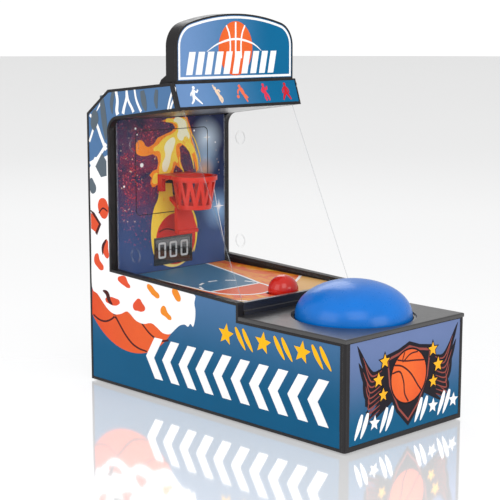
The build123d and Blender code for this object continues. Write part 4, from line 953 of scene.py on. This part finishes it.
def front_artwork():
    """The front's shield, ball, plumes, stars and slashes: x to the right, y up."""
    shield = [polygon(
        (-21, 53.4), (-8, 55.6), (2, 59), (12, 55.6), (25, 53.4), (22.5, 34), (13, 17), (2, 6.4),
        (-9, 17), (-18.5, 34),
    )]
    rim_out = [
        (-18.6, 51.4), (-7, 53.6), (2, 56.6), (11, 53.6), (22.6, 51.4), (20.2, 34.6), (11.6, 18.6), (2, 9.4),
        (-7.6, 18.6), (-16.2, 34.6),
    ]
    rim_in = [(2 + (x - 2) * 0.93, 34 + (y - 34) * 0.93) for x, y in rim_out]
    plumes, veins = [], []
    for i in range(9):     # from the top plume to the lowest; every other one is shorter
        start = Vector((18, 47 - 2.6 * i))
        reach = Vector((49 - 0.34 * i * i - 3 * (i % 2), 63.5 - 5.1 * i))
        bend = Vector((36 + 0.4 * i, 43.4 - 3.3 * i))
        plumes.append(stroke([tuple(start), tuple(bend), tuple(reach)], 5.8, 0.3, 4.2))
        vein = [start + (bend - start) * 0.5, bend + Vector((0.2, 0.2)), bend + (reach - bend) * 0.62]
        veins.append(stroke([tuple(point) for point in vein], 0.9, 0.2, 0.3))
    plumes += mirrored(moved(plumes, -4, 0))
    veins += mirrored(moved(veins, -4, 0))
    ball = circle(2, 37.6, 16.2, points=28)
    ring = circle(2, 37.6, 17.3, points=28)
    seams = [
        stroke([(-11.6, 46.4), (-4.5, 44.6), (3.5, 39), (10.6, 30.4), (14, 26.6)], 1.1),
        stroke([(-9, 49.2), (-1.6, 47.4), (7, 46.4), (16.4, 45.2)], 1),
        stroke([(-13.6, 41.6), (-6.6, 41.6), (-3, 35), (-1.8, 27.4), (1.8, 21.8)], 1.1),
        stroke([(-2.4, 53), (-4, 47.4), (3, 51), (10, 51.4)], 0.9),
    ]
    stars = []
    for x, y, size in ((24.5, 50.4, 4.6), (30, 40, 4.9), (25.5, 30.2, 4.3)):
        stars += [star(x, y, size, 90), star(4 - x, y, size, 90)]
    slashes = []
    for x in (-40.5, -18, 14.4, 36.6):
        for step in (-4.6, 0.6):
            foot = x + step
            slashes.append(stroke([(foot + 5, 21.8), (foot + 2.4, 15), (foot - 1.4, 7.4)], 3.6, 0.5, 1.6))
    for x in (-29, 25.8, 46):
        slashes.append(star(x, 14.4, 4.8, 84))
    return [
        ("front_plumes", 1, plumes, "shield_black", True),
        ("front_plume_veins", 2, veins, "shield_brown", True),
        ("front_shield", 2.4, shield, "shield_black"),
        ("front_shield_line", 3, [polygon(*rim_out), polygon(*rim_in)], "shield_brown"),
        ("front_ball_rim", 3.4, [ring], "black_ink"),
        ("front_ball", 3.8, [ball], "front_ball_ink"),
        ("front_ball_seams", 4.2, seams, "seam_brown", True),
        ("front_star_edges", 4, grown(stars), "black_ink"),
        ("front_stars", 4.4, stars, "star_gold"),
        ("front_slashes", 3.6, slashes, "white_ink", True),
    ]


class HOOP_OT_front_art(bpy.types.Operator):
    """Prints the shield, the ball, the plumes and the stars on the front"""

    bl_idname = "hoop.front_art"
    bl_label = "Front label"

    def execute(self, context):
        print_inks(upright_face("front_sheet"), front_artwork())
        return {"FINISHED"}


def header_artwork():
    """The header's ball, bars and underline: x to the right, y up."""
    ball = [circle(-1, 231.5, 15.2, 17.6, points=28)]
    seams = [
        stroke([(-1, 248.6), (-1, 238), (-1, 224)], 1.3),
        stroke([(-9.4, 246.4), (-6.8, 241), (-5.8, 234), (-6.2, 225)], 1.2),
        stroke([(7.4, 246.4), (4.8, 241), (3.8, 234), (4.2, 225)], 1.2),
        stroke([(-26.5, 229.6), (-16, 234.8), (-1, 237.6), (14, 234.8), (22.5, 229.8)], 1.4, 0.3, 0.3),
    ]
    bars = [
        polygon((x, 215), (x + 5.4, 215), (x + 8.4, 229.6), (x + 3, 229.6))
        for x in (-44.5 + 8.1 * i for i in range(10))
    ]
    speed = [
        stroke([(-47, 212.9), (-24, 212.7), (-1, 213.1)], 0.7, 0.1, 0.1),
        stroke([(-1, 213.1), (22, 212.7), (45, 212.9)], 0.7, 0.1, 0.1),
    ]
    return [
        ("header_ball", 1, ball, "header_ball_ink"),
        ("header_seams", 2, seams, "white_ink", True),
        ("header_bars", 3, bars, "white_ink"),
        ("header_underline", 2, speed, "white_ink", True),
    ]


class HOOP_OT_header_art(bpy.types.Operator):
    """Prints the white line, the ball and the bars on the arched header"""

    bl_idname = "hoop.header_art"
    bl_label = "Header label"

    def execute(self, context):
        self.white_line(context.scene.machine_sizes)
        print_inks(upright_face("header_sheet"), header_artwork())
        return {"FINISHED"}

    def white_line(self, sizes):
        """Insets the header's own outline twice and keeps the band between."""
        bpy.ops.object.select_all(action="DESELECT")
        band = copied_node("header_sheet")
        bpy.context.view_layer.objects.active = band
        band.select_set(True)
        front = outer_corner("header_sheet", 1, -1)
        bpy.ops.object.mode_set(mode="EDIT")
        bpy.ops.mesh.select_all(action="SELECT")
        bpy.ops.mesh.remove_doubles(threshold=SHEET_WELD)
        bpy.ops.mesh.select_mode(type="FACE")
        bpy.ops.mesh.select_all(action="DESELECT")
        bpy.ops.object.mode_set(mode="OBJECT")
        for face in band.data.polygons:
            face.select = face.center.y > front + SAME_PLANE
        bpy.ops.object.mode_set(mode="EDIT")
        bpy.ops.mesh.delete(type="FACE")
        bpy.ops.mesh.select_all(action="SELECT")
        bpy.ops.mesh.dissolve_limited(angle_limit=math.radians(1.0))
        for width, keep_inside in ((sizes.header_gap, True), (sizes.header_line, False)):
            bpy.ops.mesh.select_all(action="SELECT")
            bpy.ops.mesh.inset(thickness=width, depth=0.0)
            if keep_inside:
                bpy.ops.mesh.select_all(action="INVERT")
            bpy.ops.mesh.delete(type="FACE")
        bpy.ops.mesh.select_all(action="SELECT")
        bpy.ops.mesh.extrude_region_move(TRANSFORM_OT_translate={"value": (0.0, -sizes.ink_step, 0.0)})
        bpy.ops.mesh.select_all(action="SELECT")
        bpy.ops.mesh.normals_make_consistent(inside=False)
        bpy.ops.object.mode_set(mode="OBJECT")
        finish_piece(band, "header_white_line", "white_ink", "cabinet")


def figure(head, *limbs):
    """A head, and limbs that each give their points and then their widths."""
    return [circle(*head, 1.15, points=10), *(stroke(*limb) for limb in limbs)]


def visor_artwork():
    """Five plain figures: x to the right, y up the slope."""
    shooter = figure(
        (0.6, 11.6),
        ([(0.3, 10.4), (-0.4, 7.8), (-0.6, 5.8)], 2.6, 1.9, 2),
        ([(0.6, 9.6), (2.6, 8.6), (4, 10.2)], 1.2),
        ([(-0.2, 9.4), (-2.2, 8), (-3, 6.2)], 1.1),
        ([(-0.4, 6.2), (1.8, 4), (5.6, 0.6)], 1.7, 0.8, 1.9),
        ([(-0.8, 6.2), (-1.2, 3.4), (-3.4, 1)], 1.7, 0.9, 1.9),
    )
    jumper = figure(
        (-2.2, 10.6),
        ([(-1.8, 9.4), (-0.4, 7.2), (0.4, 5.4)], 2.6, 1.9, 2),
        ([(-1.6, 9.2), (-3, 11.2), (-3.4, 13)], 1.1),
        ([(-1, 8.8), (0.8, 9.4), (1.8, 8)], 1.1),
        ([(0.2, 5.8), (0.8, 3.2), (2, 0.6)], 1.7, 0.9, 1.9),
        ([(0.6, 5.8), (2.6, 3.8), (2.6, 1.4)], 1.5, 0.8, 1.8),
    )
    dribbler = figure(
        (-1.6, 11.4),
        ([(-1.2, 10.2), (0.2, 7.8), (0.8, 5.8)], 3, 2.1, 2.2),
        ([(-1.4, 9.8), (-3.4, 8.4), (-4.2, 6.2)], 1.2),
        ([(0.8, 6.2), (2, 3.6), (3.4, 0.6)], 1.8, 0.9, 2),
        ([(0.4, 6.2), (2.6, 4.8), (4.4, 3.2)], 1.6, 0.8, 1.9),
    )
    dribbler.append(circle(-4.4, 4.4, 1.2, points=10))
    guard = figure(
        (-0.8, 11.6),
        ([(-0.8, 10.4), (-0.6, 7.8), (0.2, 5.6)], 3.2, 2.2, 2.4),
        ([(-1, 9.8), (-2.8, 8), (-1.8, 6.4)], 1.2),
        ([(0.2, 9.6), (2, 8.6), (2.4, 10.8)], 1.2),
        ([(0.2, 6), (-0.4, 3.2), (0.6, 0.6)], 1.9, 1, 2),
        ([(0.4, 6), (2.2, 3.8), (3, 0.8)], 1.9, 1, 2),
    )
    runner = figure(
        (0.2, 11.6),
        ([(0.2, 10.4), (0.2, 7.8), (0.2, 5.6)], 3, 2.4, 2.2),
        ([(-0.4, 9.8), (-2.4, 7.8), (-2.4, 5.4)], 1.2),
        ([(0.6, 9.8), (2.6, 7.8), (2.6, 5.4)], 1.2),
        ([(-0.2, 6), (-1.8, 3.6), (-3.4, 0.8)], 1.9, 1, 2.2),
        ([(0.6, 6), (2.2, 3.6), (4, 0.8)], 1.9, 1, 2.2),
    )
    rows = (
        ("shooter", shooter, -40, "white_ink"),
        ("jumper", jumper, -19, "figure_cream"),
        ("dribbler", dribbler, 2.5, "figure_orange"),
        ("guard", guard, 23.5, "figure_rose"),
        ("runner", runner, 43, "figure_red"),
    )
    return [
        (f"visor_{name}", 1, moved(shapes, x, 0.8), ink, True)
        for name, shapes, x, ink in rows
    ]


class HOOP_OT_visor_art(bpy.types.Operator):
    """Prints five plain player pictograms on the visor"""

    bl_idname = "hoop.visor_art"
    bl_label = "Visor label"

    def execute(self, context):
        low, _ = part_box("visor_sheet")  # its lowest front edge
        slope = Vector(VISOR_SLOPE).normalized()
        foot = (0, low.y, low.z + 0.2 * MM * slope.y)
        print_inks(face_matrix(foot, (1, 0, 0), slope), visor_artwork())
        return {"FINISHED"}


def display_edges():
    """The display frame's left, right, lower and upper edges, in millimetres, with a hair's gap."""
    low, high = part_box("display_frame")
    gap = 0.1
    return low.x / MM - gap, high.x / MM + gap, low.z / MM - gap, high.z / MM + gap


def rounded(half, low, high, radius):
    """A rounded rectangle centred on x = 0."""
    points = []
    for x, y, start in (
        (half - radius, high - radius, 0),
        (radius - half, high - radius, 90),
        (radius - half, low + radius, 180),
        (half - radius, low + radius, 270),
    ):
        points += arc_points(x, y, radius, start, start + 90, 7)
    return polygon(*points)


def backboard_artwork():
    """The backboard's burning ball and thin target: x to the right, y up."""
    trail = [
        polygon(
            (-10, 181), (-5, 182.4), (2, 183), (14, 183), (15, 180), (17, 176), (18.6, 171), (18.4, 167),
            (20.4, 163), (21.4, 159), (23.6, 153), (24.4, 146), (22.4, 143), (20.6, 150), (17.6, 156),
            (13, 161), (9.6, 163.6), (6.6, 162), (7.2, 157), (7.4, 152), (9.4, 147), (10.4, 144.4),
            (6.4, 147.4), (3, 149.6), (1, 146), (0, 141), (-6, 139), (-12, 138), (-16, 136), (-18.6, 135.6),
            (-20.4, 138.6), (-19, 142), (-21.2, 144.2), (-18, 147), (-14.2, 148), (-13, 152), (-14, 156.6),
            (-18, 158.6), (-24, 157.6), (-29, 158), (-32.6, 161.6), (-33.4, 166), (-30, 169.2), (-26.4, 166),
            (-22, 163.6), (-17, 165.4), (-13.4, 169.6), (-6, 172), (-0.6, 173.6), (2.6, 176), (0.6, 178.8),
            (-4, 180),
        )
    ]
    middle = [
        blob(
            (-6, 181.2), (2, 182), (12, 181.6), (14.6, 176), (16.6, 170), (17.4, 164), (19.6, 157),
            (15.4, 158.6), (10.6, 163.4), (4.4, 164.4), (3.4, 158), (4.6, 151), (1.8, 152.4), (-0.8, 147),
            (-5.4, 143), (-11, 142.6), (-12.4, 148), (-10.8, 154), (-11.8, 160), (-17.4, 161.4), (-13, 165),
            (-7, 169.6), (1, 172.4), (4.8, 176.6), (0.4, 179.8),
        ),
        blob((-14.6, 138), (-18.2, 138.4), (-18.4, 141.4), (-16.4, 145), (-13, 144.6), (-12.6, 141)),
    ]
    core = [
        blob(
            (1.2, 181.2), (11.4, 180.8), (13.6, 174.6), (15.4, 167.4), (11.4, 169.4), (9.4, 166.6),
            (4.6, 169.4), (5.8, 174.6), (4.6, 179),
        ),
        blob(
            (-2.4, 168.4), (2, 168.6), (1.4, 162.6), (-1.2, 157.4), (-3.2, 150), (-7.4, 145.4),
            (-9.6, 150), (-6.6, 157), (-7.4, 163),
        ),
    ]
    left_edge = [
        (-11.6, 138.4), (-13.6, 127.4), (-17, 121.4), (-19.2, 114), (-20.2, 106), (-20, 98), (-17.8, 88),
        (-13, 88), (-12, 98), (-8, 108), (1.6, 112.6), (3.4, 118), (0.6, 126), (-0.8, 137),
    ]
    wisps = [
        stroke([(9.4, 166), (15, 160.6), (18.6, 152.6), (20.2, 145.6)], 1.2, 0.2, 0.4),
        stroke([(12.6, 170), (19.4, 161), (23.2, 151.6), (24, 143.6)], 1, 0.2, 0.4),
        stroke([(15.4, 174), (20.6, 167), (25, 156.6), (26.4, 150)], 0.8, 0.2, 0.3),
        stroke([(6.4, 155.4), (7, 149.6), (9.6, 145.6), (10.2, 143.4)], 1.1, 0.2, 0.4),
        stroke([(16, 119.6), (20, 112.6), (21.8, 104), (21.4, 94.6), (19.4, 86)], 1.9, 0.3, 0.4),
    ]
    ball_seams = [
        stroke([(-13.2, 103.6), (-7, 105.2), (0, 103.8), (8, 100.8), (17, 101.4)], 0.9),
        stroke([(19, 104.4), (14, 106.2), (6, 106.6)], 0.8, 0.2),
    ]
    flare = [
        star(44, 117, 5.4, 90, 0.14, 4),
        star(32.6, 167.6, 3.6, 90, 0.2, 4),
        circle(-27.8, 151.6, 1.5, points=10),
    ]
    for x, y, radius in (
        (-33, 177, 0.8), (-43.6, 138, 0.7), (-31.6, 172.8, 0.5), (20.4, 173, 0.7), (40.6, 163.6, 0.5),
    ):
        flare.append(circle(x, y, radius, points=8))
    flare.append(stroke([(37.4, 140), (41, 122), (45.4, 104), (49.2, 90)], 0.5, 0.2, 0.1))
    ember = [circle(-29, 163.6, 4.4, 5.2, points=12)]
    window = display_edges()
    halo = around_window(circle(1, 98.2, 21, points=64)[1], *window)
    ball = around_window(circle(2.6, 97.4, 18.4, points=64)[1], *window)
    left_flame = around_window(smooth_line(left_edge), *window)
    target = [rounded(33.4, 116.8, 175.4, 4), rounded(32.9, 117.3, 174.9, 3.5)]
    return [
        ("board_ball_glow", 1, halo, "pale_yellow_ink", True),
        ("board_flame_left", 1.4, left_flame, "flame_yellow_ink", True),
        ("board_ball", 1.8, ball, "ball_red_ink", True),
        ("board_ball_seams", 2.4, ball_seams, "seam_brown", True),
        ("board_flame", 2.2, trail, "flame_orange_ink"),
        ("board_flame_middle", 2.7, middle, "flame_yellow_ink", True),
        ("board_flame_core", 3.2, core, "flame_cream_ink", True),
        ("board_wisps", 3.6, wisps, "flame_yellow_ink", True),
        ("board_ember", 2.6, ember, "flame_orange_ink"),
        ("board_flares", 2, flare, "white_ink", True),
        ("board_target", 4, target, "black_ink"),
    ]


class HOOP_OT_backboard_art(bpy.types.Operator):
    """Prints the burning ball and the target on the backboard"""

    bl_idname = "hoop.backboard_art"
    bl_label = "Backboard label"

    def execute(self, context):
        print_inks(upright_face("backboard_sheet"), backboard_artwork())
        return {"FINISHED"}


def court_artwork():
    """The court's lane, circle, corners and lines: x to the right, y towards the backboard."""
    lane = [polygon(
        (-34, 94.5), (30.6, 94.5), (27, 80), (22.4, 62), (17.6, 45), (12.4, 28), (9, 17.6), (-34, 17.6),
    )]
    key = [polygon(*arc_points(-12.6, 16.6, 21.4, 180, 360, 20, 24))]
    tans = [
        polygon((49.6, -27), (49.6, 15.6), (36, 6), (24, -1.6), (13, -9), (4, -15.6), (4, -27)),
        polygon((-49.6, -27), (-49.6, -8), (-41, -15), (-34, -27)),
    ]
    lines = [
        stroke([(31.6, 94.5), (28, 80), (23.4, 62), (18.6, 45), (13.4, 28), (9.6, 17)], 2),
        stroke([(-35, 94.5), (-35, 55), (-35, 16.6)], 2),
        stroke([(-35.8, 17.2), (-12, 17.2), (9.6, 17.2)], 2),
        stroke(arc_points(-12.6, 16.6, 22.2, 180, 360, 16, 24.8), 2),
        stroke([(49.6, 17.2), (36, 7.6), (24, 0), (13, -7.4), (4, -13.6), (-2, -17.6)], 2),
        stroke([(-49.6, -6), (-42, -12.6), (-35, -22)], 2),
    ]
    for start in (6, 40, 74, 108, 142):
        lines.append(stroke(arc_points(-12.6, 18.6, 21.6, start, start + 19, 6, 24), 1.8))
    return [
        ("court_lane", 1, lane, "lane_blue"),
        ("court_key", 1, key, "court_orange"),
        ("court_corners", 1, tans, "court_tan"),
        ("court_lines", 2, lines, "white_ink", True),
    ]


class HOOP_OT_court_art(bpy.types.Operator):
    """Paints the lane, the circles and the lines on the court"""

    bl_idname = "hoop.court_art"
    bl_label = "Court print"

    def execute(self, context):
        _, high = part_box("court_sheet")
        run = Vector((0, 1, COURT_SLOPE)).normalized()
        middle = (0, 0, high.z - high.y * COURT_SLOPE)
        print_inks(face_matrix(middle, (1, 0, 0), run), court_artwork())
        return {"FINISHED"}


# ---------------------------------------------------------------- stage

WHITE, BLACK = (1.0, 1.0, 1.0, 1.0), (0.0, 0.0, 0.0, 1.0)
FLOOR_SIZE = 60.0
FLOOR_DROP = 0.05 * MM     # the floor lies this far under the feet
FLOOR_GLOW = 0.45
BACKDROP_RADIUS = 12.0
WORLD_STRENGTH = 0.62
LAMP_AIM = (0.0, 0.0, 0.12)
LAMPS = (                  # name, place, size in metres, watts
    ("key", (-0.75, -0.95, 1.05), 0.9, 5.5),
    ("side", (-1.25, 0.15, 0.65), 0.9, 4.0),
    ("front", (0.1, -1.5, 0.38), 0.8, 5.0),
    ("back", (0.7, 1.1, 0.9), 0.8, 4.0),
)
CAMERA_PLACE = (-0.6147, -0.6231, 0.2436)
CAMERA_AIM = (-0.0253, -0.0100, 0.1046)
CAMERA_LENS = 97.06        # focal length in millimetres


class HOOP_OT_stage(bpy.types.Operator):
    """Sets the pale floor, the soft lights and the camera"""

    bl_idname = "hoop.stage"
    bl_label = "Stage"

    def execute(self, context):
        scene = context.scene
        scene.view_settings.view_transform = "Standard"
        self.floor()
        self.backdrop()
        world = bpy.data.worlds.new("studio")
        world.use_nodes = True
        sky = {"Color": WHITE, "Strength": WORLD_STRENGTH}
        feed(world.node_tree, world.node_tree.nodes["Background"], sky)
        scene.world = world
        for lamp in LAMPS:
            self.lamp(*lamp)
        bpy.ops.object.camera_add(location=CAMERA_PLACE)
        camera = bpy.context.object
        camera.name = "camera"
        camera.data.lens = CAMERA_LENS
        camera.data.sensor_width = 36.0
        camera.data.clip_start = 0.01
        camera.rotation_mode = "QUATERNION"
        camera.rotation_quaternion = (Vector(CAMERA_AIM) - camera.location).to_track_quat("-Z", "Y")
        scene.camera = camera
        return {"FINISHED"}

    def floor(self):
        """A pale polished floor just under the feet."""
        _, tree, shader = new_material(
            "stage_floor", Base_Color=(0.9, 0.905, 0.915, 1.0), Metallic=0.5, Specular_IOR_Level=1.0,
            Coat_Weight=0.8, Coat_Roughness=0.05, Emission_Color=WHITE, Emission_Strength=FLOOR_GLOW,
        )
        rough = spread(tree, noise(tree, object_place(tree), 6.0), 0.3, 0.7, 0.06, 0.08)
        feed(tree, shader, {"Roughness": rough})
        bpy.ops.object.select_all(action="DESELECT")
        bpy.ops.mesh.primitive_plane_add(size=FLOOR_SIZE, location=(0.0, 0.0, -FLOOR_DROP))
        floor = bpy.context.object
        floor.name = "floor"
        floor.data.materials.append(bpy.data.materials["stage_floor"])

    def backdrop(self):
        """A far white shell that only the camera sees."""
        new_material("stage_backdrop", Base_Color=BLACK, Emission_Color=WHITE, Emission_Strength=1.0)
        bpy.ops.object.select_all(action="DESELECT")
        bpy.ops.mesh.primitive_uv_sphere_add(segments=48, ring_count=24, radius=BACKDROP_RADIUS)
        shell = bpy.context.object
        shell.name = "backdrop"
        shell.data.materials.append(bpy.data.materials["stage_backdrop"])
        for ray in ("diffuse", "glossy", "transmission", "volume_scatter", "shadow"):
            setattr(shell, f"visible_{ray}", False)

    def lamp(self, name, place, size, watts):
        """A square softbox."""
        bpy.ops.object.light_add(type="AREA", location=place)
        lamp = bpy.context.object
        lamp.name = name
        lamp.data.shape = "SQUARE"
        lamp.data.size = size
        lamp.data.energy = watts
        lamp.rotation_euler = (Vector(LAMP_AIM) - lamp.location).to_track_quat("-Z", "Y").to_euler()
        lamp.visible_camera = False


STEPS = (
    HOOP_OT_surface_groups,
    HOOP_OT_finishes,
    HOOP_OT_cabinet,
    HOOP_OT_side_art,
    HOOP_OT_front_art,
    HOOP_OT_header_art,
    HOOP_OT_visor_art,
    HOOP_OT_backboard_art,
    HOOP_OT_court_art,
    HOOP_OT_stage,
)


class HOOP_PT_sidebar(bpy.types.Panel):
    """Lists the steps in order"""

    bl_idname = "HOOP_PT_sidebar"
    bl_label = "Basketball machine"
    bl_space_type = "VIEW_3D"
    bl_region_type = "UI"
    bl_category = "Basketball"

    def draw(self, context):
        for step in STEPS:
            self.layout.operator(step.bl_idname)
        for settings in (context.scene.machine_colours, context.scene.machine_sizes):
            for name in settings.__annotations__:
                self.layout.prop(settings, name)


CLASSES = (MachineColours, MachineSizes, *STEPS, HOOP_PT_sidebar)


def register():
    for made in CLASSES:
        bpy.utils.register_class(made)
    bpy.types.Scene.machine_colours = bpy.props.PointerProperty(type=MachineColours)
    bpy.types.Scene.machine_sizes = bpy.props.PointerProperty(type=MachineSizes)


def unregister():
    del bpy.types.Scene.machine_sizes
    del bpy.types.Scene.machine_colours
    for made in reversed(CLASSES):
        bpy.utils.unregister_class(made)


def main():
    register()
    bpy.ops.hoop.surface_groups()
    bpy.ops.hoop.finishes()
    bpy.ops.hoop.cabinet()
    bpy.ops.hoop.side_art()
    bpy.ops.hoop.front_art()
    bpy.ops.hoop.header_art()
    bpy.ops.hoop.visor_art()
    bpy.ops.hoop.backboard_art()
    bpy.ops.hoop.court_art()
    bpy.ops.hoop.stage()


if __name__ == "__main__":
    main()
